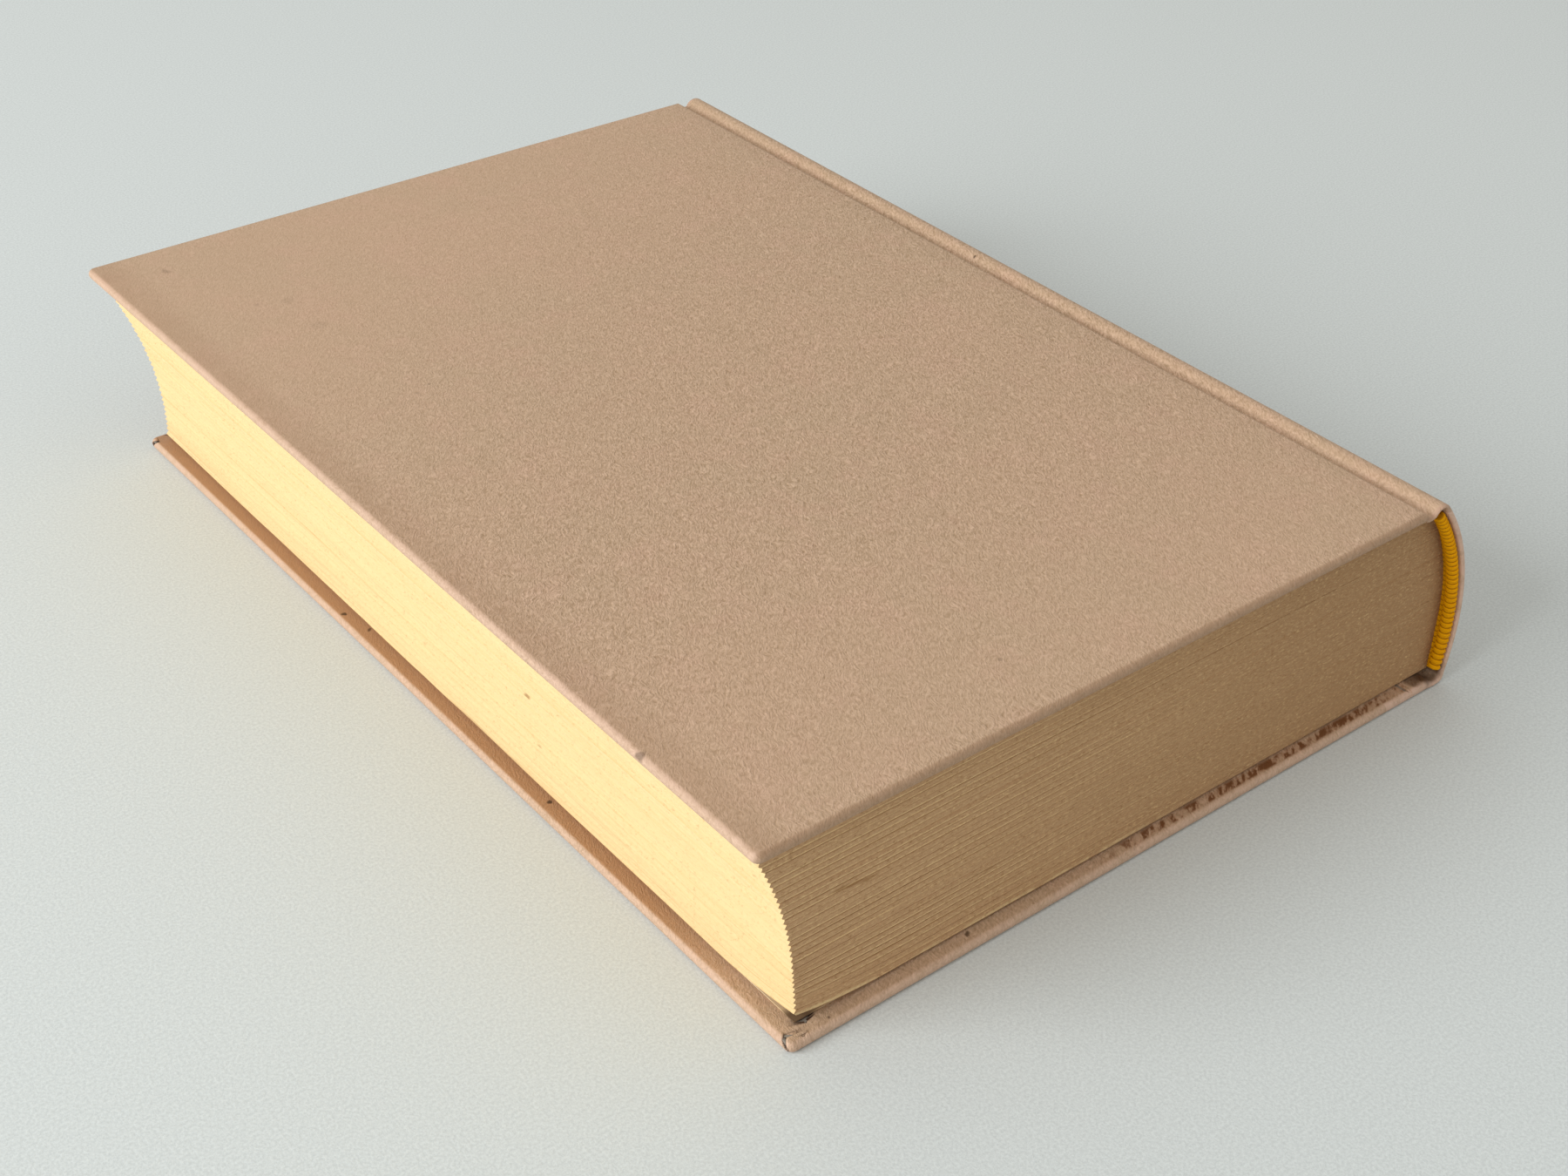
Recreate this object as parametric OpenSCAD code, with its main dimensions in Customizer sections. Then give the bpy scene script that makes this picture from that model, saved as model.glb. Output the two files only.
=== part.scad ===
// Case-bound hardback book, closed and lying on its back cover.
// The spine is on the +X side, the head end faces -Y and the front cover is on top.
// One section through covers, pages and spine is drawn in X and Z and drawn out along Y.

/* [Covers] */
// Height of the covers, from head to tail
cover_h = 210; // [150:1:300]
// Width of a cover, from its fore edge to the joint groove
cover_w = 140.9; // [90:0.1:220]
// Thickness of the grey board inside a cover
board_t = 1.4; // [1:0.1:3]
// Radius of a cover's corners, seen from above
corner_r = 1.3; // [0.8:0.1:3]
// Radius of a cover's soft outer edges
edge_r = 0.6; // [0.4:0.1:0.7]

/* [Leather and paper] */
// Thickness of the covering leather
leather_t = 0.25; // [0.2:0.05:0.4]
// Width of the leather turned in over the inside of the boards
turn_in_w = 15; // [8:1:25]
// Thickness of an endpaper
endpaper_t = 0.2; // [0.1:0.05:0.3]
// Border of leather left bare round a pastedown
pastedown_inset = 3.5; // [2:0.5:6]

/* [Pages] */
// Thickness of all the leaves together
pages_t = 37.2; // [20:0.1:60]
// Folded and sewn sections in the block
sections = 31; // [10:1:45]
// How far the covers stand out past the pages at head and tail
square_w = 3.2; // [2.5:0.1:7]
// From the back cover's fore edge to the deepest point of the hollow fore edge
fore_square = 2.7; // [2:0.1:8]
// Depth of the hollow in the fore edge
fore_hollow = 2.6; // [1:0.1:4]
// How far the fold between two sections lies behind the middle of a section
section_step = 0.5; // [0.1:0.05:0.5]

/* [Spine] */
// How far the rounded spine stands out from its own chord
spine_bulge = 5.5; // [3:0.1:8]
// Mean distance from the boards to the corners of the spine
joint_w = 7; // [7:0.1:12]
// Radius of the ridges along both sides of the spine
ridge_r = 2.4; // [2.4:0.1:4]
// Depth of the joint grooves below the covers
groove_depth = 1.5; // [1:0.1:1.7]
// Thickness of the card inlay in the spine
inlay_t = 0.45; // [0.3:0.05:0.6]
// Free air in the hollow back, inside the leather turned in at its ends
hollow_gap = 0.3; // [0.2:0.05:0.5]
// Thickness of the paper lining on the sewn back
lining_t = 0.3; // [0.2:0.05:0.4]
// Thickness of the mull, the gauze that ties the pages to the boards
mull_t = 0.3; // [0.2:0.05:0.4]
// Width of the mull glued to each board
mull_flange_w = 25; // [15:1:40]

/* [Lean] */
// How far the front cover has slid towards the fore edge
lean = 7.1; // [0:0.1:9]
// How much further than the covers the spine leans
spine_roll = 3.6; // [0:0.1:5]
// How much further than the covers the fore edge leans
fore_roll = 2.4; // [0:0.1:4]

/* [Headbands] */
// Radius of the thread-covered bead
bead_r = 1.2; // [0.7:0.05:1.2]
// Distance from one rib of thread to the next
rib_pitch = 1.15; // [0.9:0.05:1.3]
// Width of the tape that holds the bead on the back of the pages
tape_w = 12; // [6:1:20]

/* [Hidden] */
$fn = 64;

// Colours as the photographed book shows them
leather_colour = [0.74, 0.61, 0.52];
page_colour = [0.90, 0.80, 0.60];
endpaper_colour = [0.92, 0.86, 0.74];
board_colour = [0.55, 0.52, 0.48];
band_colour = [0.85, 0.58, 0.10];
mull_colour = [0.86, 0.84, 0.78];
lining_colour = [0.66, 0.52, 0.36];

// Glue line between two layers, and clearances of what moves
glue = 0.05;
page_gap = 0.1;
hinge_gap = 0.3;
// How far the front ridge of the spine stays below its cover, and how far the flatter back one does
ridge_drop = 0.1;
back_ridge_drop = 0.5;
// How far the middle line of the bead lies inside the back of the pages
bead_inset = 0.15;
// How far the bead stands off the ends of the pages, where the covers leave room for it
bead_lift = 0.75;
// How far a cutting solid runs past what it cuts
past = 1;

// Levels inside a cover, counted from its outer face
board_in = leather_t + glue;
board_top = board_in + board_t;
turn_in_bottom = board_top + glue;
cover_t = turn_in_bottom + leather_t;
pastedown_bottom = cover_t + glue;
pastedown_top = pastedown_bottom + endpaper_t;
flyleaf_bottom = pastedown_top + page_gap;
flyleaf_top = flyleaf_bottom + endpaper_t;
pages_bottom = flyleaf_top + glue;
book_t = 2 * pages_bottom + pages_t;
wall_top = groove_depth + leather_t;

// Depths of the layers of the back, counted inwards from the leather's outer face
inlay_d = leather_t + glue;
turned_d = inlay_d + inlay_t + glue;
hollow_d = turned_d + leather_t;
lining_d = hollow_d + hollow_gap;
mull_d = lining_d + lining_t + glue;
block_d = mull_d + mull_t + glue;

// The rounded back: a circle through both corners of the leaning spine
tilt = atan2(lean + spine_roll, book_t);
half_chord = (book_t / 2 - ridge_drop) / cos(tilt);
spine_r = (half_chord * half_chord + spine_bulge * spine_bulge) / (2 * spine_bulge);
chord_mid = [cover_w - lean / 2 + joint_w, book_t / 2];
back_c = chord_mid - (spine_r - spine_bulge) * [cos(tilt), sin(tilt)];

// The hollow fore edge: a second circle, with its own tilt
fore_tilt = atan2(lean + fore_roll, book_t);
fore_half = pages_t / 2 / cos(fore_tilt);
fore_r = (fore_half * fore_half + fore_hollow * fore_hollow) / (2 * fore_hollow);
fore_c = [fore_square - fore_r, book_t / 2 - (fore_r - fore_hollow) * sin(fore_tilt)];

// Side 0 is the back cover's side, at the bottom, and side 1 the front cover's
function level(side, d) = side == 1 ? book_t - d : d;
function board_edge(side) = cover_w - side * lean;
function across(r, dz) = sqrt(r * r - dz * dz);
function ridge_z(side) = level(side, (side == 1 ? ridge_drop : back_ridge_drop) + ridge_r);
function ridge_x(side) = back_c[0] + across(spine_r - ridge_r, ridge_z(side) - back_c[1]);
function ridge_angle(side) = atan2(ridge_z(side) - back_c[1], ridge_x(side) - back_c[0]);
function fore_x(z) = fore_c[0] + across(fore_r, z - fore_c[1]);
function on_back(r, angle) = back_c + r * [cos(angle), sin(angle)];

// The overall width runs from the front cover's fore edge to the crown of the spine
mid_x = (back_c[0] + spine_r - lean) / 2;

// Puts the middle of the whole book over the origin
module in_frame() {
    translate([-mid_x, -cover_h / 2, 0]) children();
}

// Draws a section in X and Z out along Y
module span(from, to) {
    translate([0, to, 0]) rotate([90, 0, 0]) linear_extrude(to - from) children();
}

// A cover is drawn as the back one, with its outer face at Z 0, and turned over for the front
module as_cover(side) {
    if (side == 1) translate([-lean, 0, book_t]) mirror([0, 0, 1]) children();
    else children();
}

module box(low, high) {
    translate(low) cube(high - low);
}

module rect(low, high) {
    translate(low) square(high - low);
}

// A rectangle from the origin with a round corner at each end of its sides
module round_rect(size, r) {
    translate([r, 0]) square([size[0] - 2 * r, size[1]]);
    translate([0, r]) square([size[0], size[1] - 2 * r]);
    for (x = [r, size[0] - r], y = [r, size[1] - r]) translate([x, y]) circle(r);
}

// The part of the back between the middle lines of its two ridges
module back_wedge() {
    reach = 2 * spine_r;
    low = ridge_angle(0);
    high = ridge_angle(1);
    inside = chord_mid - 2 * spine_bulge * [cos(tilt), sin(tilt)];
    polygon([inside, [ridge_x(0), ridge_z(0)], on_back(reach, low), on_back(reach, (low + high) / 2),
             on_back(reach, high), [ridge_x(1), ridge_z(1)]]);
}

// Everything that lies deeper than d below the outer face of the spine, ridges included
module back_zone(d) {
    intersection() {
        translate(back_c) circle(spine_r - d, $fn = 180);
        back_wedge();
    }
    for (side = [0, 1]) translate([ridge_x(side), ridge_z(side)]) circle(ridge_r - d);
}

// A layer of the back between two depths, from ridge to ridge
module back_layer(d_out, d_in) {
    intersection() {
        difference() {
            translate(back_c) circle(spine_r - d_out, $fn = 180);
            translate(back_c) circle(spine_r - d_in, $fn = 180);
        }
        back_wedge();
    }
}

// What lies inside the joints: from the boards to the ridges, deeper than d below the covers
module joint_zone(d) {
    for (side = [0, 1]) {
        middle = book_t / 2;
        low = min(middle, level(side, d));
        high = max(middle, level(side, d));
        rect([board_edge(side) - past, low], [ridge_x(side), high]);
    }
}

// Section of the spine leather: rounded back, two ridges and the floors of the grooves
module spine_leather_section() {
    difference() {
        union() {
            back_zone(0);
            for (side = [0, 1]) {
                low = min(level(side, groove_depth), level(side, wall_top));
                rect([board_edge(side) + hinge_gap, low], [ridge_x(side), low + leather_t]);
            }
        }
        back_zone(leather_t);
        joint_zone(wall_top);
    }
}

// Section of the pages: hollow fore edge in small steps, rounded and backed spine
module pages_section() {
    step = pages_t / sections;
    folds = [for (i = [0:sections]) let (z = pages_bottom + i * step) [fore_x(z) + section_step, z]];
    middles = [for (i = [0:sections - 1]) let (z = pages_bottom + (i + 0.5) * step) [fore_x(z), z]];
    edge = [for (i = [sections - 1:-1:0], p = [middles[i], folds[i]]) p];
    shoulders = [for (side = [0, 1]) [ridge_x(side), level(side, pages_bottom)]];
    ridge = ridge_z(0) > pages_bottom ? [[ridge_x(0), ridge_z(0)]] : [];
    polygon(concat([shoulders[0]], ridge, [shoulders[1], folds[sections]], edge));
    back_zone(block_d);
}

// The gauze round the sewn back, from shoulder to shoulder
module mull_section() {
    difference() {
        back_zone(mull_d);
        back_zone(mull_d + mull_t);
        joint_zone(pages_bottom - glue);
    }
}

module text_block() {
    color(page_colour) in_frame() span(square_w, cover_h - square_w) pages_section();
}

module flyleaf(side) {
    edge_level = level(side, pages_bottom);
    low = min(level(side, flyleaf_bottom), level(side, flyleaf_top));
    color(endpaper_colour) in_frame()
        box([fore_x(edge_level), square_w, low],
            [ridge_x(side) - (ridge_r - mull_d) - glue, cover_h - square_w, low + endpaper_t]);
}

module front_flyleaf() {
    flyleaf(1);
}

module back_flyleaf() {
    flyleaf(0);
}

module spine_mull() {
    margin = square_w + tape_w + glue;
    color(mull_colour) in_frame() span(margin, cover_h - margin) mull_section();
}

module spine_lining() {
    color(lining_colour) in_frame()
        span(square_w, cover_h - square_w) back_layer(lining_d, lining_d + lining_t);
}

// A bead ribbed by its thread follows the rounded back, with its tape glued to the pages
module band() {
    path_r = spine_r - block_d - bead_inset;
    turn = rib_pitch / path_r * 180 / PI;
    room = ridge_angle(1) - ridge_angle(0);
    ribs = floor(room / turn);
    first = ridge_angle(0) + (room - (ribs - 1) * turn) / 2;
    bead_y = max(bead_r + glue, square_w - bead_r - bead_lift);
    for (i = [0:ribs - 1]) {
        place = on_back(path_r, first + i * turn);
        translate([place[0], bead_y, place[1]]) sphere(bead_r);
    }
    span(bead_y, square_w + tape_w) back_layer(mull_d, mull_d + mull_t);
}

module head_band() {
    color(band_colour) in_frame() band();
}

module tail_band() {
    color(band_colour) in_frame() translate([0, cover_h, 0]) mirror([0, 1, 0]) band();
}

module spine_inlay() {
    color(lining_colour) in_frame()
        span(inlay_d, cover_h - inlay_d) back_layer(inlay_d, inlay_d + inlay_t);
}

// The leather of the spine, folded round the inlay at head and tail
module spine_leather() {
    color(leather_colour) in_frame() {
        span(0, cover_h) spine_leather_section();
        for (start = [0, cover_h - turn_in_w]) {
            span(start, start + turn_in_w) back_layer(turned_d, hollow_d);
        }
        for (start = [0, cover_h - leather_t]) {
            span(start, start + leather_t) back_layer(leather_t / 2, hollow_d);
        }
    }
}

module board(side) {
    inset = leather_t + glue;
    color(board_colour) in_frame() as_cover(side)
        translate([inset, inset, board_in]) linear_extrude(board_t)
            round_rect([cover_w - 2 * inset, cover_h - 2 * inset], corner_r - inset);
}

module front_board() {
    board(1);
}

module back_board() {
    board(0);
}

// The soft outer form of a cover: rounded in section along all four edges and at its corners
module cover_form() {
    intersection() {
        span(0, cover_h) round_rect([cover_w, cover_t], edge_r);
        rotate([90, 0, 90]) linear_extrude(cover_w) round_rect([cover_h, cover_t], edge_r);
        linear_extrude(cover_t) round_rect([cover_w, cover_h], corner_r);
    }
}

// One cover's leather: outer face, three wrapped edges with their turn-ins, and the groove's wall
module cover_leather(side) {
    color(leather_colour) in_frame() as_cover(side) difference() {
        cover_form();
        translate([leather_t, leather_t, leather_t]) linear_extrude(turn_in_bottom - leather_t)
            round_rect([cover_w - 2 * leather_t, cover_h - 2 * leather_t], corner_r - leather_t);
        box([turn_in_w, turn_in_w, turn_in_bottom - glue],
            [cover_w + past, cover_h - turn_in_w, cover_t + past]);
        box([cover_w - leather_t - glue, -past, wall_top],
            [cover_w + past, cover_h + past, cover_t + past]);
    }
}

module front_leather() {
    cover_leather(1);
}

module back_leather() {
    cover_leather(0);
}

// The strip of mull glued to the inside of a board along its spine edge
module mull_flange(side) {
    far = cover_w - inlay_d;
    color(mull_colour) in_frame() as_cover(side)
        box([far - mull_flange_w, turn_in_w + glue, turn_in_bottom],
            [far, cover_h - turn_in_w - glue, turn_in_bottom + mull_t]);
}

module front_mull_flange() {
    mull_flange(1);
}

module back_mull_flange() {
    mull_flange(0);
}

// The endpaper glued to a cover: it lies on the turn-ins and sinks to the board between them
module pastedown(side) {
    far = cover_w - inlay_d;
    inner = turn_in_w + endpaper_t;
    flange_top = turn_in_bottom + mull_t + glue;
    flange_edge = far - mull_flange_w;
    color(endpaper_colour) in_frame() as_cover(side) difference() {
        box([pastedown_inset, pastedown_inset, turn_in_bottom],
            [far, cover_h - pastedown_inset, pastedown_top]);
        difference() {
            box([0, 0, 0], [far + past, cover_h, pastedown_bottom]);
            box([turn_in_w + glue, turn_in_w + glue, 0], [far, cover_h - turn_in_w - glue, cover_t + past]);
        }
        box([flange_edge - glue, 0, 0], [far + past, cover_h, flange_top]);
        box([inner + glue, inner + glue, turn_in_bottom + endpaper_t],
            [flange_edge - endpaper_t, cover_h - inner - glue, cover_t + past]);
        box([flange_edge - endpaper_t - glue, inner + glue, flange_top + endpaper_t],
            [far + past, cover_h - inner - glue, cover_t + past]);
    }
}

module front_pastedown() {
    pastedown(1);
}

module back_pastedown() {
    pastedown(0);
}

text_block();
front_flyleaf();
back_flyleaf();
spine_mull();
spine_lining();
head_band();
tail_band();
spine_inlay();
spine_leather();
front_board();
front_leather();
front_mull_flange();
front_pastedown();
back_board();
back_leather();
back_mull_flange();
back_pastedown();
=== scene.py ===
"""Visual model of a plain leather hardback book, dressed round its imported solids.

The book lies closed on its back cover: the spine is on the +X side, the head end faces -Y and the
front cover is on top. Lengths in the classes are millimetres; meshes and lamps are in metres.
"""

import logging
import math
from collections.abc import Callable, Mapping, Sequence
from dataclasses import dataclass, field, replace
from enum import Enum
from functools import cached_property

import bmesh
import bpy
import numpy as np
from mathutils import Matrix, Vector, noise


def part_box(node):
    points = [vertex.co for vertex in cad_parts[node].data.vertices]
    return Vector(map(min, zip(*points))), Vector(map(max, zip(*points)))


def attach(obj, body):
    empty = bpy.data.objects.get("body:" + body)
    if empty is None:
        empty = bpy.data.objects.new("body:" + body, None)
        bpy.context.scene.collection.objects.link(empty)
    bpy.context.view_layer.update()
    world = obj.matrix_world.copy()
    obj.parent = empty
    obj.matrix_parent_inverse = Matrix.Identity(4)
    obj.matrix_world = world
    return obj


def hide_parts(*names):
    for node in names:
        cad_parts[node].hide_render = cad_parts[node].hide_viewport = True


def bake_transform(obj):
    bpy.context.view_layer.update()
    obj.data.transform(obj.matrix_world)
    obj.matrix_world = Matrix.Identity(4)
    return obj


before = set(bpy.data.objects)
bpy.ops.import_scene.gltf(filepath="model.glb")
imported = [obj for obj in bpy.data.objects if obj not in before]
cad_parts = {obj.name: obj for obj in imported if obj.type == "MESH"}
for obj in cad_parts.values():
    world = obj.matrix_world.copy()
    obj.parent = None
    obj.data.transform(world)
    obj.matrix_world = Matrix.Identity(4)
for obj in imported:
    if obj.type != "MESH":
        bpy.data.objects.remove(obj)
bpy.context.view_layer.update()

MM = 0.001
NEAR = 1e-3
MERGE = 0.002
LOG = logging.getLogger("hardback")

Rgb = tuple[float, float, float]
Point2 = tuple[float, float]
Point3 = tuple[float, float, float]
Piece = bpy.types.Object
Material = bpy.types.Material
Numbers = np.ndarray | float


class Side(Enum):
    """Which cover a piece belongs to: the back one lies at the bottom, the front one on top."""

    BACK = "back"
    FRONT = "front"


class End(Enum):
    """Which end of the book a piece sits at, as the direction of that end along Y."""

    HEAD = -1
    TAIL = 1


# Shader expressions


@dataclass(frozen=True)
class Term:
    """A number socket of a node tree, on which Python's arithmetic adds Math nodes."""

    graph: "Graph"
    socket: bpy.types.NodeSocket

    def _math(self, operation: str, *values: object) -> "Term":
        """Adds one Math node."""
        return self.graph.add("ShaderNodeMath", {"operation": operation}, dict(enumerate(values)))

    def __add__(self, other: object) -> "Term":
        """Sum."""
        return self._math("ADD", self, other)

    __radd__ = __add__

    def __sub__(self, other: object) -> "Term":
        """Difference."""
        return self._math("SUBTRACT", self, other)

    def __rsub__(self, other: object) -> "Term":
        """Difference from a number."""
        return self._math("SUBTRACT", other, self)

    def __mul__(self, other: object) -> "Term":
        """Product."""
        return self._math("MULTIPLY", self, other)

    __rmul__ = __mul__

    def __truediv__(self, other: object) -> "Term":
        """Quotient."""
        return self._math("DIVIDE", self, other)

    def __rtruediv__(self, other: object) -> "Term":
        """Quotient of a number."""
        return self._math("DIVIDE", other, self)

    def absolute(self) -> "Term":
        """Size without sign."""
        return self._math("ABSOLUTE", self)

    def fraction(self) -> "Term":
        """What is left above the next whole number down."""
        return self._math("FRACT", self)

    def most(self, other: object) -> "Term":
        """The larger of two values."""
        return self._math("MAXIMUM", self, other)

    def sine(self) -> "Term":
        """Sine of an angle in radians."""
        return self._math("SINE", self)

    def rise(self, start: float, stop: float) -> "Term":
        """Smooth step between two values.

        Args:
            start: Value at which the step is 0.
            stop: Value at which the step is 1; it may lie below start.

        Returns:
            The step, from 0 to 1.
        """
        settings = {"interpolation_type": "SMOOTHSTEP"}
        if start <= stop:
            return self.graph.add("ShaderNodeMapRange", settings, {0: self, 1: start, 2: stop})
        return 1 - self.graph.add("ShaderNodeMapRange", settings, {0: self, 1: stop, 2: start})


class Graph:
    """The node tree of one material, with a Principled shader at its end."""

    def __init__(self, name: str) -> None:
        """Makes an empty material.

        Args:
            name: Name of the material.
        """
        self.material = bpy.data.materials.new(name)
        self.material.use_nodes = True
        self.tree = self.material.node_tree
        self.tree.nodes.clear()

    def add(self, kind: str, settings: Mapping[str, object] | None = None,
            sockets: Mapping[str | int, object] | None = None, output: str | int = 0) -> Term:
        """Adds one node.

        Args:
            kind: Type of the node.
            settings: Its properties, set first.
            sockets: Values or links of its input sockets.
            output: Output socket to return.

        Returns:
            The chosen output.
        """
        node = self.tree.nodes.new(kind)
        for key, value in (settings or {}).items():
            setattr(node, key, value)
        for key, value in (sockets or {}).items():
            if isinstance(value, Term):
                self.tree.links.new(value.socket, node.inputs[key])
            else:
                node.inputs[key].default_value = value
        return Term(self, node.outputs[output])

    def place(self) -> Term:
        """Object coordinates in millimetres."""
        coordinates = self.add("ShaderNodeTexCoord", output="Object")
        return self.vector("SCALE", coordinates, Scale=1 / MM)

    def attribute(self, name: str, output: str) -> Term:
        """One of the mesh's own attributes."""
        return self.add("ShaderNodeAttribute", {"attribute_name": name}, output=output)

    def vector(self, operation: str, first: object, second: object = None, **named: object) -> Term:
        """Adds one Vector Math node.

        Args:
            operation: What it does.
            first: Its first vector.
            second: Its second vector, where it has one.
            **named: Further sockets by name.

        Returns:
            The resulting vector, or the number for a distance.
        """
        sockets = {0: first, **({} if second is None else {1: second}), **named}
        output = "Value" if operation == "DISTANCE" else 0
        return self.add("ShaderNodeVectorMath", {"operation": operation}, sockets, output)

    def axes(self, vector: Term) -> tuple[Term, Term, Term]:
        """The three numbers of a vector."""
        node = self.add("ShaderNodeSeparateXYZ", None, {0: vector}).socket.node
        return tuple(Term(self, socket) for socket in node.outputs)

    def turned(self, where: Term, degrees: float, stretch: Point3) -> Term:
        """Coordinates turned about Z and stretched, for marks that lie one way."""
        sockets = {"Vector": where, "Rotation": (0.0, 0.0, math.radians(degrees)), "Scale": stretch}
        return self.add("ShaderNodeMapping", {"vector_type": "TEXTURE"}, sockets)

    def grain(self, where: Term, scale: float, detail: float = 2.0, rough: float = 0.5,
              twist: float = 0.0) -> Term:
        """Noise from 0 to 1 round 0.5.

        Args:
            where: Coordinates.
            scale: Features for each unit of the coordinates.
            detail: Octaves.
            rough: Weight of the finer octaves.
            twist: Distortion.

        Returns:
            The noise.
        """
        sockets = {"Vector": where, "Scale": scale, "Detail": detail, "Roughness": rough,
                   "Distortion": twist}
        return self.add("ShaderNodeTexNoise", {"normalize": True}, sockets)

    def cells(self, where: Term, scale: float) -> Term:
        """Distance to the middle of the nearest cell."""
        sockets = {"Vector": where, "Scale": scale}
        return self.add("ShaderNodeTexVoronoi", {"feature": "F1"}, sockets, "Distance")

    def blend(self, factor: object, first: object, second: object, mode: str = "MIX") -> Term:
        """Mixes two colours, each a plain colour or a link.

        Args:
            factor: Share of the second colour.
            first: First colour.
            second: Second colour.
            mode: How they mix.

        Returns:
            The mixed colour.
        """
        values = {0: factor}
        for index, colour in ((6, first), (7, second)):
            values[index] = colour if isinstance(colour, Term) else (*colour, 1.0)
        settings = {"data_type": "RGBA", "blend_type": mode, "clamp_factor": True}
        return self.add("ShaderNodeMix", settings, values, 2)

    def finish(self, colour: object, rough: object, height: Term | None = None, depth: float = 0.0,
               **constants: float) -> Material:
        """Ends the tree in a Principled shader.

        Args:
            colour: Base colour.
            rough: Roughness.
            height: Relief from 0 to 1.
            depth: Depth of the relief in millimetres.
            **constants: Further plain values of the shader, with underscores for spaces.

        Returns:
            The material.
        """
        sockets = {"Base Color": colour, "Roughness": rough}
        if height is not None:
            sockets["Normal"] = self.add("ShaderNodeBump", None, {
                "Strength": 1.0, "Distance": depth * MM, "Height": height})
        sockets |= {key.replace("_", " "): value for key, value in constants.items()}
        shader = self.add("ShaderNodeBsdfPrincipled", None, sockets)
        node = self.tree.nodes.new("ShaderNodeOutputMaterial")
        self.tree.links.new(shader.socket, node.inputs["Surface"])
        return self.material


# Finishes

BENT_BY = 1.1
STAIN_SHAPE = (0.3, 0.8, 1.6)


@dataclass(frozen=True)
class StainAndShadeSpot:
    """A small round mark on a surface, in the part's frame."""

    at: Point3
    radius: float
    strength: float

    def centre(self) -> Point3:
        """Its place in the leather's bent coordinates, which lie further on."""
        return tuple(c + BENT_BY for c in self.at)


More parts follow.
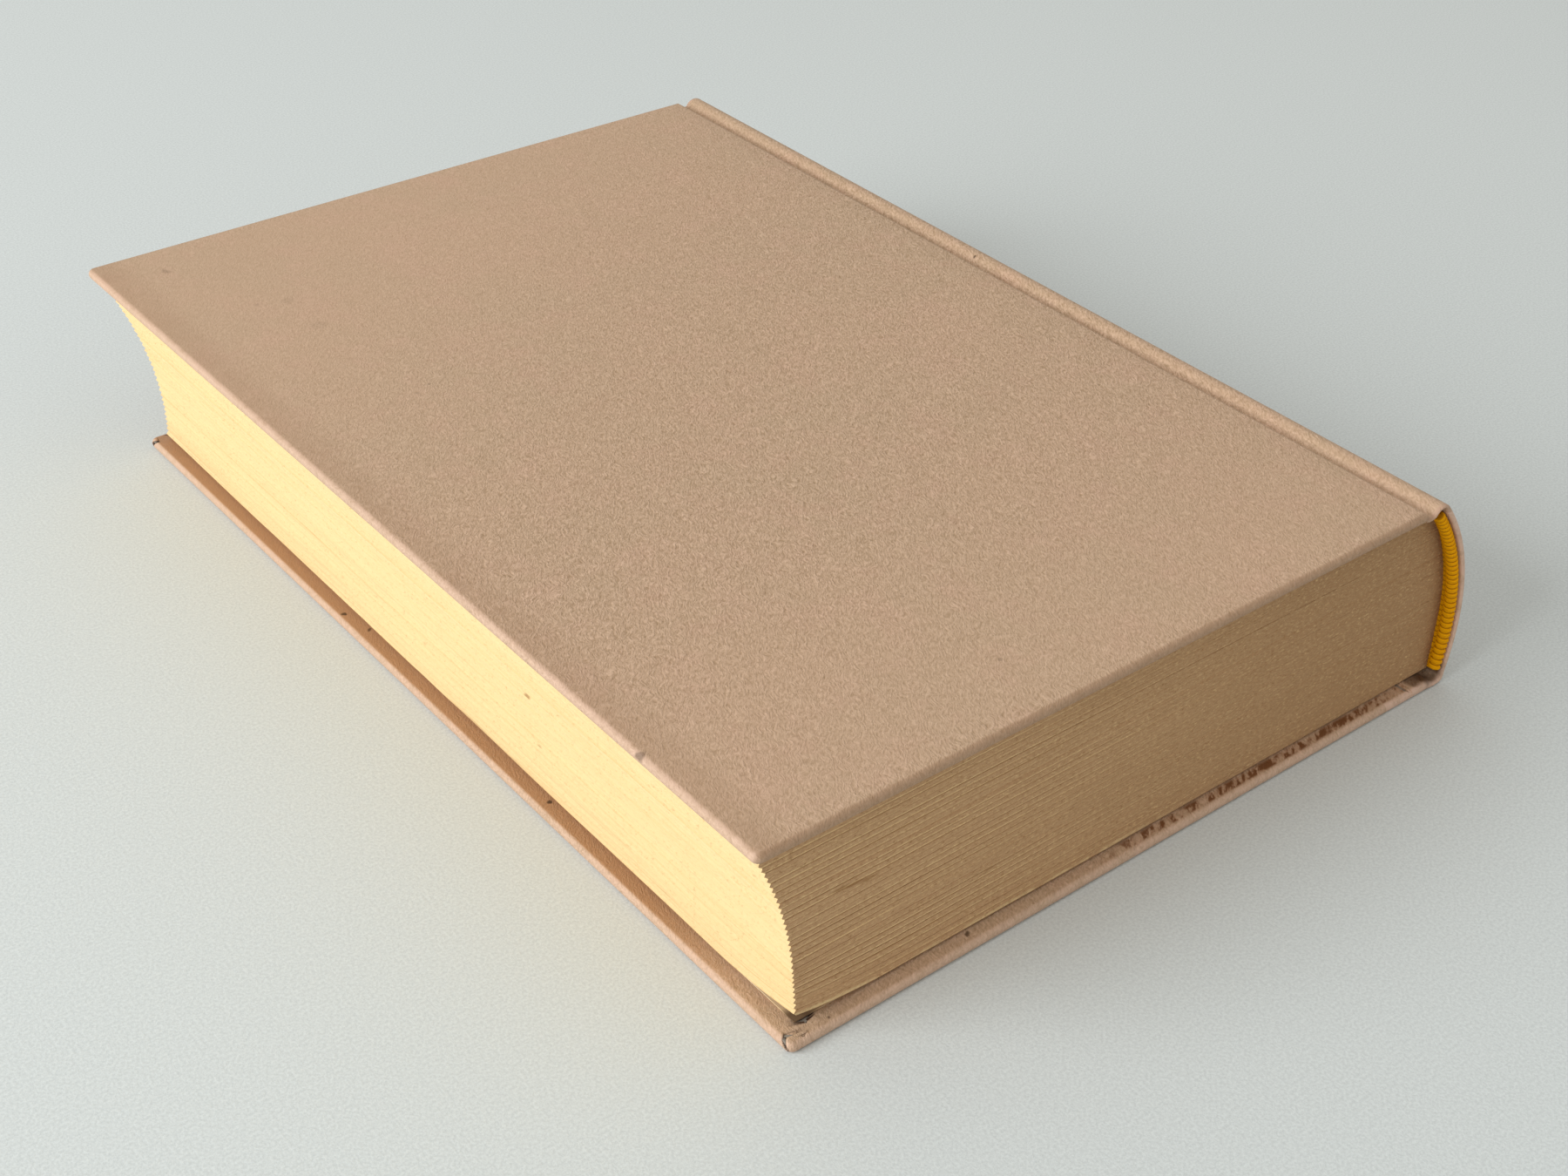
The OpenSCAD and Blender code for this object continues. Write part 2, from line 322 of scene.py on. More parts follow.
@dataclass(frozen=True)
class LeatherFinish:
    """Matt dusty-pink leather with fine short wrinkles, scuffed inside the back cover's head edge, with
    painted light and shade in its grain, on its rims and borders, in its corner slits and at the head
    band's foot.
    """

    name: str = "dusty_pink_leather"
    colour: Rgb = (0.535, 0.355, 0.226)
    pink: Rgb = (0.552, 0.354, 0.233)
    dun: Rgb = (0.518, 0.352, 0.223)
    # Colour of the stains and of the painted shade at the head band's foot.
    mark: Rgb = (0.075, 0.036, 0.014)
    scuff: Rgb = (0.15, 0.045, 0.004)
    rubbed: Rgb = (0.39, 0.185, 0.085)
    # Painted shade in the corner slits.
    crease: Rgb = (0.05, 0.022, 0.012)
    # Dirt and painted shade along the front cover's fore border and on its head and tail edges.
    border_dirt_and_shade: Rgb = (0.37, 0.215, 0.12)
    # Rubbed wear on the rims, partly a painted highlight on the rounded edges.
    wear_and_highlight: Rgb = (0.74, 0.50, 0.38)
    # Painted shade on the back cover's inner face beside the pages' fore edge.
    square_shade: Rgb = (0.40, 0.205, 0.095)
    # Stains, and for the leather also patches of painted shade.
    stains: tuple[StainAndShadeSpot, ...] = ()
    grain_turn: float = 53.0
    stroke_shape: Point3 = (0.95, 0.29, 0.4)
    ruck_shape: Point3 = (2.7, 0.45, 0.6)
    scuff_turn: float = 48.0
    scuff_shape: Point3 = (2.4, 0.95, 1.0)
    scuff_x: Point2 = (-16.0, 24.0)
    relief_d: float = 0.15
    half_h: float = 105.0
    spine_x: float = 62.0
    front_edge: float = -79.09
    front_top: float = 42.4
    back_inside: float = 2.0
    back_edge: float = -71.99

    def material(self) -> Material:
        """Builds the leather's nodes.

        Returns:
            The material.
        """
        g = Graph(self.name)
        place = g.place()
        x, y, z = g.axes(place)
        shift = g.vector("SCALE", g.add("ShaderNodeTexNoise", None, {
            "Vector": place, "Scale": 0.35, "Detail": 2.0}, "Color"), Scale=2 * BENT_BY)
        bent = g.vector("ADD", place, shift)
        height = self._grain(g, place, bent, y)
        smooth = (y * 0.012 - x * 0.008).rise(0.0, 1.5) * 0.6 + y.rise(-40.0, -100.0) * 0.28
        height = (height - 0.5) * (1 - smooth) + 0.5
        cloud = g.grain(place, 0.022, 3.0, 0.55)
        patch = g.grain(place, 0.13, 3.0, 0.6)
        fine = g.grain(place, 0.6, 2.0, 0.5)
        colour = g.blend(cloud.rise(0.3, 0.7), self.dun, self.colour)
        colour = g.blend(patch.rise(0.42, 0.75) * 0.7, colour, self.pink)
        colour = g.blend(fine.rise(0.55, 0.8) * 0.25, colour, self.dun)
        # Painted shade in the grain's hollows and painted light on its crests: the colour follows the
        # relief.
        shade = g.add("ShaderNodeCombineColor", None, {
            0: height + 0.5, 1: height * 1.12 + 0.44, 2: height * 1.4 + 0.3})
        colour = g.blend(1.0, colour, shade, "MULTIPLY")
        colour = self._wear_light_and_shade(g, colour, bent, (x, y, z))
        # Painted shade in the corner slits, from the mesh's slit attribute.
        colour = g.blend(g.attribute("slit", "Fac").rise(0.13, 0.85), colour, self.crease)
        return g.finish(colour, 0.66 - height * 0.14, height, self.relief_d, Specular_IOR_Level=0.42)

    def _grain(self, g: Graph, place: Term, bent: Term, y: Term) -> Term:
        """Short wrinkles that lie mostly one way, finer pores, and rucks across the turned ends.

        Args:
            g: The material's graph.
            place: Coordinates.
            bent: The same coordinates, bent.
            y: Plain Y in millimetres.

        Returns:
            Relief from 0 to 1.
        """
        strokes = g.grain(g.turned(bent, self.grain_turn, self.stroke_shape), 1.0, 3.0, 0.55, 0.15)
        knots = g.cells(bent, 1.5)
        pores = g.grain(place, 2.6, 3.0, 0.7)
        across = g.grain(g.vector("MULTIPLY", bent, self.ruck_shape), 1.0, 2.0, 0.5)
        at_end = y.absolute().rise(self.half_h - 5.0, self.half_h - 2.0)
        relief = (strokes - 0.5) * 1.3 + knots * 0.10 + (pores - 0.5) * 0.38 + 0.42
        return relief + (across - 0.5) * at_end * 0.7

    def _wear_light_and_shade(self, g: Graph, colour: Term, bent: Term, plain: tuple[Term, Term, Term]) -> Term:
        """Dirt and painted shade on the front cover's border, rims lighter from wear and painted light,
        painted shade on the back cover's square, scuffs inside the back one, small stains, and painted
        shade at the head band's foot.

        Args:
            g: The material's graph.
            colour: Colour so far.
            bent: Bent coordinates.
            plain: Plain X, Y and Z in millimetres.

        Returns:
            The colour with its wear, dirt and painted light and shade.
        """
        x, y, z = plain
        patch = g.grain(bent, 0.28, 3.0, 0.6)
        # Front cover's top darker towards its fore edge: dirt, and painted shade where the leather rounds
        # away from the light.
        edge = x.rise(self.front_edge + 9.0, self.front_edge + 1.5)
        top = z.rise(self.front_top - 0.5, self.front_top - 0.25)
        colour = g.blend(edge * top * (patch * 0.4 + 0.15), colour, self.border_dirt_and_shade)
        end = y.absolute().rise(self.half_h - 1.0, self.half_h - 0.45)
        from_head = y + self.half_h
        high = z.rise(self.front_top - 2.2, self.front_top - 1.9)
        rub = g.grain(bent, 0.55, 3.0, 0.65).rise(0.25, 0.6)
        low = z.rise(self.back_inside + 1.4, self.back_inside + 0.6)
        spine = x.rise(self.spine_x, self.spine_x + 0.2)
        fore = x.rise(self.front_edge + 1.0, self.front_edge + 0.4) * high
        back_fore = x.rise(self.back_edge + 0.8, self.back_edge + 0.35) * low
        wear_and_highlight = (end * low.most(spine)).most(fore).most(back_fore)
        # Painted shade on the back cover's square beside the pages' fore edge, away from the head end.
        square = x.rise(self.back_edge + 5.2, self.back_edge + 3.8) * from_head.rise(6.0, 40.0)
        hidden = square * z.rise(self.back_inside - 0.35, self.back_inside - 0.05) * low
        colour = g.blend(hidden * (1 - back_fore) * 0.85, colour, self.square_shade)
        # Rims of the back cover, the spine's fold and the front cover's fore edge lighter: rubbed wear,
        # partly painted highlight where the rounded edges catch light and the table's bounce.
        colour = g.blend(wear_and_highlight * (rub * 0.6 + 0.25) * (spine * 0.55 + 0.45), colour, self.wear_and_highlight)
        # Front cover's head and tail edges darker: painted shade, with some dirt.
        colour = g.blend(end * high * 0.55, colour, self.border_dirt_and_shade)
        ragged = g.grain(g.turned(g.place(), self.scuff_turn, self.scuff_shape), 0.9, 3.0, 0.6)
        cluster = g.grain(bent, 0.16, 2.0, 0.5)
        along = x.rise(*self.scuff_x)
        inside = z.rise(self.back_inside - 0.35, self.back_inside - 0.1) * z.rise(
            self.back_inside + 1.2, self.back_inside + 0.8)
        strip = from_head.rise(3.2, 2.2) * from_head.rise(0.7, 1.3)
        bare = (ragged * 0.75 + cluster * 0.55 + along * 0.05).rise(0.66, 0.78) * along.rise(0.0, 0.4)
        rubbed = (ragged * 0.7 + cluster * 0.6).rise(0.5, 0.75)
        colour = g.blend(inside * strip * along * rubbed * 0.65, colour, self.rubbed)
        colour = g.blend(bare * inside * strip * 0.9, colour, self.scuff)
        # Small stains, and the painted shade at the head band's foot.
        for dark_spot in self.stains:
            reach = g.vector("DISTANCE", bent, dark_spot.centre())
            spot = reach.rise(dark_spot.radius * 1.3, dark_spot.radius * 0.5) * dark_spot.strength
            colour = g.blend(spot, colour, self.mark)
        return colour


@dataclass(frozen=True)
class PageEdgeFinish:
    """Cut edges of toned paper, lined by the leaves and browner at head and tail, partly as painted shade.
    """

    name: str = "toned_page_edges"
    cream: Rgb = (0.80, 0.61, 0.32)
    pale: Rgb = (0.86, 0.72, 0.45)
    tan: Rgb = (0.78, 0.55, 0.28)
    # End-face colours, from the fore edge (head) to the spine (tail), both ends alike: toned paper,
    # darkened partly as painted shade.
    head: Rgb = (0.545, 0.335, 0.175)
    tail: Rgb = (0.43, 0.255, 0.125)
    brown: Rgb = (0.34, 0.18, 0.07)
    low_z: float = 2.6
    section_t: float = 1.2
    band_shape: Point3 = (0.012, 0.012, 0.9)
    layer_shape: Point3 = (0.02, 0.02, 1.9)
    line_shape: Point3 = (0.03, 0.03, 5.5)
    fibre_shape: Point3 = (1.2, 1.2, 2.6)
    relief_d: float = 0.16
    stains: tuple[StainAndShadeSpot, ...] = (
        StainAndShadeSpot((-70.5, -35.7, 22.5), 1.0, 0.75),
        StainAndShadeSpot((-70.5, -36.1, 11.4), 1.0, 0.75),
        StainAndShadeSpot((-70.5, 29.6, 8.6), 0.9, 0.3),
        StainAndShadeSpot((-70.5, 0.3, 10.8), 0.8, 0.3),
        StainAndShadeSpot((-61.0, -101.8, 24.6), 0.7, 0.75),
        StainAndShadeSpot((-58.4, -101.8, 24.1), 0.8, 0.8),
        StainAndShadeSpot((-55.6, -101.8, 23.6), 0.8, 0.7),
        StainAndShadeSpot((-31.0, -101.8, 12.0), 0.35, 0.6),
        StainAndShadeSpot((8.0, -101.8, 19.5), 0.3, 0.6),
        StainAndShadeSpot((33.0, -101.8, 9.0), 0.35, 0.55),
    )

    def material(self) -> Material:
        """Builds the page edges' nodes.

        Returns:
            The material.
        """
        g = Graph(self.name)
        leaf = g.attribute("leaf_place", "Vector")
        x, _, z = g.axes(leaf)
        at_end = g.attribute("cut_end", "Fac")
        band = g.grain(g.vector("MULTIPLY", leaf, self.band_shape), 1.0, 2.0, 0.6)
        fine = g.grain(g.vector("MULTIPLY", leaf, self.line_shape), 1.0, 4.0, 0.75)
        layers = g.grain(g.vector("MULTIPLY", leaf, self.layer_shape), 1.0, 4.0, 0.8)
        section = ((z - self.low_z) / self.section_t).fraction()
        fold = (section - 0.5).absolute().rise(0.36, 0.49)
        lip = (section - 0.2).absolute().rise(0.13, 0.03)
        seen = x.rise(45.0, -55.0) * band.rise(0.3, 0.6) * (at_end * 0.55 + 0.25)
        blotch = g.grain(leaf, 0.10, 3.0, 0.6)
        fibre = g.grain(g.vector("MULTIPLY", leaf, self.fibre_shape), 1.0, 4.0, 0.75)
        patchy = g.grain(leaf, 0.22, 3.0, 0.6).rise(0.38, 0.55)
        low = z.rise(self.low_z + 7.0, self.low_z)
        colour = g.blend(band.rise(0.4, 0.75) * 0.5 + low * 0.35, self.cream, self.tan)
        colour = g.blend(blotch.rise(0.55, 0.8) * 0.4, colour, self.tan)
        # Head and tail faces: toned paper, darker partly as painted shade, and darker still towards the
        # spine.
        toned_and_shaded_end = g.blend((x * 0.006 + 0.45 + blotch * 0.3).rise(0.25, 1.05), self.head, self.tail)
        pale = lip * seen + fibre.rise(0.52, 0.72) * 0.75
        lowest = z.rise(self.low_z + 0.75, self.low_z + 0.35) * x.rise(20.0, -10.0) * patchy
        toned_and_shaded_end = g.blend(pale, toned_and_shaded_end, self.tan)
        toned_and_shaded_end = g.blend(lowest * 0.65, toned_and_shaded_end, self.cream)
        colour = g.blend(fibre.rise(0.54, 0.74) * 0.35, colour, self.pale)
        colour = g.blend(at_end, colour, toned_and_shaded_end)
        dark = fine.rise(0.54, 0.84) * (low * 0.40 + 0.42)
        seam = layers.rise(0.54, 0.76) * (at_end * 0.10 + low * 0.40 + 0.10)
        speck = fibre.rise(0.48, 0.28) * (at_end * 0.55 + 0.35)
        colour = g.blend((dark * (1 - at_end * 0.6)).most(seam).most(speck).most(fold * seen),
                         colour, self.brown)
        flat = g.vector("MULTIPLY", leaf, STAIN_SHAPE)
        for dark_spot in self.stains:
            place = tuple(c * k for c, k in zip(dark_spot.at, STAIN_SHAPE))
            spot = g.vector("DISTANCE", flat, place).rise(dark_spot.radius, dark_spot.radius * 0.3)
            colour = g.blend(spot * dark_spot.strength, colour, self.brown)
        relief = fine * 0.4 + layers * 0.35 + fibre * 0.25
        return g.finish(colour, 0.85, relief, self.relief_d, Specular_IOR_Level=0.2)


@dataclass(frozen=True)
class EndpaperFinish:
    """Smooth cream paper, slightly toned towards its edges, with painted shade at the head's fore corner
    under the curled leaves.
    """

    name: str = "cream_endpaper"
    cream: Rgb = (0.76, 0.62, 0.41)
    toned: Rgb = (0.66, 0.47, 0.27)
    # Colour of the painted shade at the head's fore corner.
    dark_spot: Rgb = (0.09, 0.045, 0.02)
    corner_shade_x: float = -63.0
    corner_shade_y: float = -98.0
    corner_shade_z: float = 6.0
    relief_d: float = 0.03

    def material(self) -> Material:
        """Builds the endpaper's nodes.

        Returns:
            The material.
        """
        g = Graph(self.name)
        place = g.place()
        x, y, z = g.axes(place)
        margin = y.absolute().rise(80.0, 103.0)
        cloud = g.grain(place, 0.05, 4.0, 0.6)
        colour = g.blend((margin * 0.6 + cloud * 0.4).rise(0.2, 0.9), self.cream, self.toned)
        fibre = g.grain(place, 3.0, 4.0, 0.7)
        # Painted shade at the head's fore corner, under the curled corner of the leaves.
        corner = x.rise(self.corner_shade_x, self.corner_shade_x - 3.0) * y.rise(
            self.corner_shade_y, self.corner_shade_y - 2.0) * z.rise(self.corner_shade_z, self.corner_shade_z - 1.0)
        colour = g.blend(corner * 0.85, colour, self.dark_spot)
        return g.finish(colour, 0.8, fibre, self.relief_d, Specular_IOR_Level=0.2)


@dataclass(frozen=True)
class ThreadFinish:
    """Ochre silk thread wound round a bead, with brown painted shade between its ribs and strands."""

    name: str = "ochre_thread"
    ochre: Rgb = (0.90, 0.41, 0.0)
    shade: Rgb = (0.34, 0.12, 0.0)
    rib_pitch: float = 1.15
    strands: int = 3
    relief_d: float = 0.08

    def material(self) -> Material:
        """Builds the thread's nodes.

        Returns:
            The material.
        """
        g = Graph(self.name)
        along = g.attribute("along_band", "Fac")
        across_rib = ((along / self.rib_pitch).fraction() - 0.5).absolute()
        strand = (along * (2 * math.pi * self.strands / self.rib_pitch)).sine() * 0.5 + 0.5
        fuzz = g.grain(g.place(), 6.0, 3.0, 0.7)
        # Painted shade between the ribs and between the strands of each rib; the fuzz adds darker flecks.
        colour = g.blend(across_rib.rise(0.3, 0.5) * 0.85, self.ochre, self.shade)
        colour = g.blend((1 - strand) * 0.3 + fuzz.rise(0.5, 0.75) * 0.35, colour, self.shade)
        return g.finish(colour, 0.75, strand * 0.7 + fuzz * 0.3, self.relief_d, Specular_IOR_Level=0.1)


@dataclass(frozen=True)
class SheetFinish:
    """A plain hidden material: grey board, brown lining paper or cotton gauze."""

    name: str
    colour: Rgb
    fleck: Rgb
    weave: float = 0.0
    relief_d: float = 0.08

    def material(self) -> Material:
        """Builds the sheet's nodes.

        Returns:
            The material.
        """
        g = Graph(self.name)
        place = g.place()
        flecks = g.grain(place, 1.6, 4.0, 0.7)
        colour = g.blend(flecks.rise(0.5, 0.75), self.colour, self.fleck)
        height = flecks
        if self.weave:
            warp, weft, _ = ((axis * (2 * math.pi * self.weave)).sine() for axis in g.axes(place))
            height = (warp * weft) * 0.5 + 0.5
            colour = g.blend(height.rise(0.2, 0.8), self.fleck, self.colour)
        return g.finish(colour, 0.9, height, self.relief_d, Specular_IOR_Level=0.15)


@dataclass(frozen=True)
class TableFinish:
    """Plain pale table top."""

    name: str = "pale_table"
    colour: Rgb = (0.589, 0.622, 0.608)
    fleck_share: float = 1.2
    relief_d: float = 0.05

    def material(self) -> Material:
        """Builds the table's nodes.

        Returns:
            The material.
        """
        g = Graph(self.name)
        place = g.place()
        speck = g.grain(place, 2.0, 3.0, 0.75)
        pale = tuple(min(1.0, self.fleck_share * c) for c in self.colour)
        colour = g.blend(speck.rise(0.3, 0.7), self.colour, pale)
        return g.finish(colour, 0.75, speck, self.relief_d, Specular_IOR_Level=0.25)


LEATHER_STAINS_AND_FOOT_SHADE = (
    StainAndShadeSpot((-67.1, 95.2, 42.4), 0.9, 0.26),
    StainAndShadeSpot((-59.5, 72.6, 42.4), 0.6, 0.18),
    StainAndShadeSpot((-52.0, 27.0, 42.4), 0.45, 0.35),
    StainAndShadeSpot((-49.0, 28.3, 42.4), 0.4, 0.3),
    StainAndShadeSpot((-22.9, -91.8, 42.4), 0.4, 0.35),
    StainAndShadeSpot((-54.5, 58.8, 42.4), 1.6, 0.09),
    StainAndShadeSpot((-54.2, 70.9, 42.4), 1.3, 0.09),
    StainAndShadeSpot((-23.8, -70.8, 42.4), 0.35, 0.25),
    StainAndShadeSpot((-78.9, -78.1, 42.1), 0.9, 0.6),
    StainAndShadeSpot((64.5, 9.6, 42.0), 0.4, 0.8),
    StainAndShadeSpot((-70.9, 27.5, 2.0), 0.45, 0.9),
    StainAndShadeSpot((-69.6, 20.4, 2.0), 0.4, 0.8),
    StainAndShadeSpot((-69.7, -38.7, 2.0), 0.5, 0.95),
    StainAndShadeSpot((-64.0, -104.0, 2.0), 0.35, 0.7),
    StainAndShadeSpot((-35.3, -103.0, 2.0), 0.5, 0.8),
    # Painted shade at the foot of the head band, where the back joint meets the pages, given as three dark
    # spots.
    StainAndShadeSpot((74.2, -103.0, 2.2), 2.4, 0.88),
    StainAndShadeSpot((71.4, -102.7, 2.1), 1.7, 0.7),
    StainAndShadeSpot((76.4, -103.2, 3.2), 2.2, 0.85),
)


@dataclass(frozen=True)
class Palette:
    """Every material of the book, made once."""

    leather: Material
    pages: Material
    endpaper: Material
    thread: Material
    board: Material
    lining: Material
    gauze: Material

    @classmethod
    def mixed(cls) -> "Palette":
        """Makes the materials.

        Returns:
            The palette.
        """
        return cls(
            leather=LeatherFinish(stains=LEATHER_STAINS_AND_FOOT_SHADE).material(),
            pages=PageEdgeFinish().material(),
            endpaper=EndpaperFinish().material(),
            thread=ThreadFinish().material(),
            board=SheetFinish("grey_board", (0.27, 0.24, 0.20), (0.40, 0.37, 0.31)).material(),
            lining=SheetFinish("brown_lining", (0.38, 0.25, 0.13), (0.48, 0.34, 0.2)).material(),
            gauze=SheetFinish("cotton_gauze", (0.74, 0.70, 0.60), (0.4, 0.36, 0.28),
                              weave=0.9).material(),
        )


# Modelling


class Bench:
    """The modelling operators, as used on one mesh at a time."""

    @staticmethod
    def only(obj: Piece) -> None:
        """Selects one object alone and makes it the active one.

        Args:
            obj: The object.
        """
        bpy.ops.object.select_all(action="DESELECT")
        obj.select_set(True)
        bpy.context.view_layer.objects.active = obj

    @staticmethod
    def named(name: str) -> Piece:
        """Names the active object and its mesh.

        Args:
            name: The name of both.

        Returns:
            The active object.
        """
        obj = bpy.context.active_object
        obj.name = obj.data.name = name
        return obj

    @classmethod
    def start(cls, name: str, shape: Callable[..., object], scale: Sequence[float] = (1, 1, 1),
              **settings: object) -> Piece:
        """Adds a primitive, with its place, turn and size put into its mesh.

        Args:
            name: Name of the piece.
            shape: The operator that adds it.
            scale: Factors along its own axes.
            **settings: Options of the operator.

        Returns:
            The object, at the origin.
        """
        bpy.ops.object.select_all(action="DESELECT")
        shape(**settings)
        obj = cls.named(name)
        obj.scale = scale
        cls.only(obj)
        bpy.ops.object.transform_apply(location=True, rotation=True, scale=True)
        return obj

    @classmethod
    def block(cls, name: str, low: Sequence[float], high: Sequence[float]) -> Piece:
        """Adds a cuboid between two corners.

        Args:
            name: Name of the piece.
            low: Lowest corner in millimetres.
            high: Highest corner in millimetres.

        Returns:
            The cuboid.
        """
        middle = [(a + b) / 2 * MM for a, b in zip(low, high)]
        return cls.start(name, bpy.ops.mesh.primitive_cube_add, [(b - a) * MM for a, b in zip(low, high)],
                         size=1, location=middle)

    @classmethod
    def open(cls, obj: Piece) -> None:
        """Starts edit mode with nothing selected.

        Args:
            obj: The object.
        """
        cls.only(obj)
        bpy.ops.object.mode_set(mode="EDIT")
        bpy.ops.mesh.select_all(action="DESELECT")

    @staticmethod
    def close() -> None:
        """Ends edit mode."""
        bpy.ops.object.mode_set(mode="OBJECT")

    @staticmethod
    def pick(obj: Piece, kind: str, test: Callable[[Vector, Vector], bool]) -> None:
        """Selects what passes a test, and nothing else.

        Args:
            obj: Object in edit mode.
            kind: VERT, EDGE or FACE.
            test: Takes the middle in millimetres and a direction: a face's normal, an edge's own
                direction or a vertex's normal.
        """
        bpy.ops.mesh.select_mode(type=kind)
        bpy.ops.mesh.select_all(action="DESELECT")
        mesh = bmesh.from_edit_mesh(obj.data)
        if kind == "FACE":
            parts = [(face, face.calc_center_median(), face.normal) for face in mesh.faces]
        elif kind == "EDGE":
            ends = [(edge, *(v.co for v in edge.verts)) for edge in mesh.edges]
            parts = [(edge, (a + b) / 2, (b - a).normalized()) for edge, a, b in ends]
        else:
            parts = [(vert, vert.co, vert.normal) for vert in mesh.verts]
        for part, middle, direction in parts:
            if test(middle / MM, direction):
                part.select_set(True)
        mesh.select_flush_mode()
        bmesh.update_edit_mesh(obj.data)

    @staticmethod
    def slice(obj: Piece, axis: int, levels: Sequence[float]) -> None:
        """Cuts the whole mesh across at each level.

        Args:
            obj: Object in edit mode.
            axis: 0, 1 or 2 for X, Y or Z.
            levels: Places of the cuts in millimetres.
        """
        normal = [0.0, 0.0, 0.0]
        normal[axis] = 1.0
        for level in levels:
            bpy.ops.mesh.select_all(action="SELECT")
            point = [0.0, 0.0, 0.0]
            point[axis] = level * MM
            bpy.ops.mesh.bisect(plane_co=point, plane_no=normal)

    @classmethod
    def apply(cls, obj: Piece, kind: str, **settings: object) -> None:
        """Adds a modifier and applies it.

        Args:
            obj: The object.
            kind: Type of the modifier.
            **settings: Its properties.
        """
        cls.only(obj)
        modifier = obj.modifiers.new(kind.lower(), kind)
        for key, value in settings.items():
            setattr(modifier, key, value)
        bpy.ops.object.modifier_apply(modifier=modifier.name)

    @classmethod
    def smooth(cls, obj: Piece, degrees: float = 35.0) -> None:
        """Shades an object smooth except across sharp edges."""
        cls.only(obj)
        bpy.ops.object.shade_smooth_by_angle(angle=math.radians(degrees))

    @staticmethod
    def places(obj: Piece) -> np.ndarray:
        """The mesh's vertices in millimetres.

        Args:
            obj: The object.

        Returns:
            One row for each vertex.
        """
        flat = np.empty(len(obj.data.vertices) * 3)
        obj.data.vertices.foreach_get("co", flat)
        return flat.reshape(-1, 3) / MM

    @staticmethod
    def put(obj: Piece, places: np.ndarray) -> None:
        """Moves the mesh's vertices to new places in millimetres."""
        obj.data.vertices.foreach_set("co", (places * MM).ravel())
        obj.data.update()

    @staticmethod
    def mark(obj: Piece, name: str, values: Sequence[object], kind: str = "FLOAT",
             domain: str = "POINT") -> None:
        """Keeps values on a mesh for its material.

        Args:
            obj: The piece.
            name: Name of the attribute.
            values: A number or a vector for each vertex or face.
            kind: FLOAT or FLOAT_VECTOR.
            domain: POINT or FACE.
        """
        attribute = obj.data.attributes.new(name, kind, domain)
        attribute.data.foreach_set("value" if kind == "FLOAT" else "vector",
                                   np.asarray(values, np.float32).ravel())

    @staticmethod
    def spin(centre: Point2, angle: float, steps: int, **settings: object) -> None:
        """Spins what is selected about an axis along Y."""
        bpy.ops.mesh.spin(steps=steps, angle=angle, center=(centre[0] * MM, 0, centre[1] * MM),
                          axis=(0, 1, 0), **settings)

    @classmethod
    def outward(cls, obj: Piece) -> None:
        """Merges doubles and turns all faces outwards.

        Args:
            obj: The object.
        """
        cls.open(obj)
        bpy.ops.mesh.select_all(action="SELECT")
        bpy.ops.mesh.remove_doubles(threshold=MERGE * MM)
        bpy.ops.mesh.normals_make_consistent(inside=False)
        cls.close()

    @classmethod
    def join(cls, name: str, objects: Sequence[Piece]) -> Piece:
        """Joins objects into one.

        Args:
            name: Name of the joined piece.
            objects: What is joined.

        Returns:
            The joined object.
        """
        cls.only(objects[0])
        for obj in objects:
            obj.select_set(True)
        bpy.ops.object.join()
        return cls.named(name)


def dress(obj: Piece, material: Material, body: str = "",
          node: str = "") -> None:
    """Gives a piece its one material and, where it stands for a solid, its body and that node.

    Args:
        obj: The piece.
        material: Its material.
        body: Body that it rides on.
        node: Node that it replaces.
    """
    obj.data.materials.clear()
    obj.data.materials.append(material)
    if node:
        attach(obj, body)
        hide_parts(node)
    LOG.info("%s: %d faces", obj.name, len(obj.data.polygons))


def wander(places: np.ndarray, seed: float) -> np.ndarray:
    """Smooth noise at each place.

    Args:
        places: Rows of coordinates, one unit to a feature.
        seed: Shifts the pattern.

    Returns:
        One value for each row, about -1 to 1.
    """
    shift = Vector((seed * 17.3, seed * 5.1, seed * 29.7))
    return np.array([noise.noise(Vector(p) + shift) for p in places])


def around(places: np.ndarray, axis: Point2) -> tuple[np.ndarray, np.ndarray, np.ndarray]:
    """Places as seen from an axis along Y.

    Args:
        places: Rows of coordinates.
        axis: X and Z of the axis.

    Returns:
        X and Z counted from the axis, the distance from it, and the direction away from it.
    """
    flat = places[:, [0, 2]] - axis
    reach = np.linalg.norm(flat, axis=1)
    return flat, reach, flat / np.maximum(reach, 1e-9)[:, None]


# The book


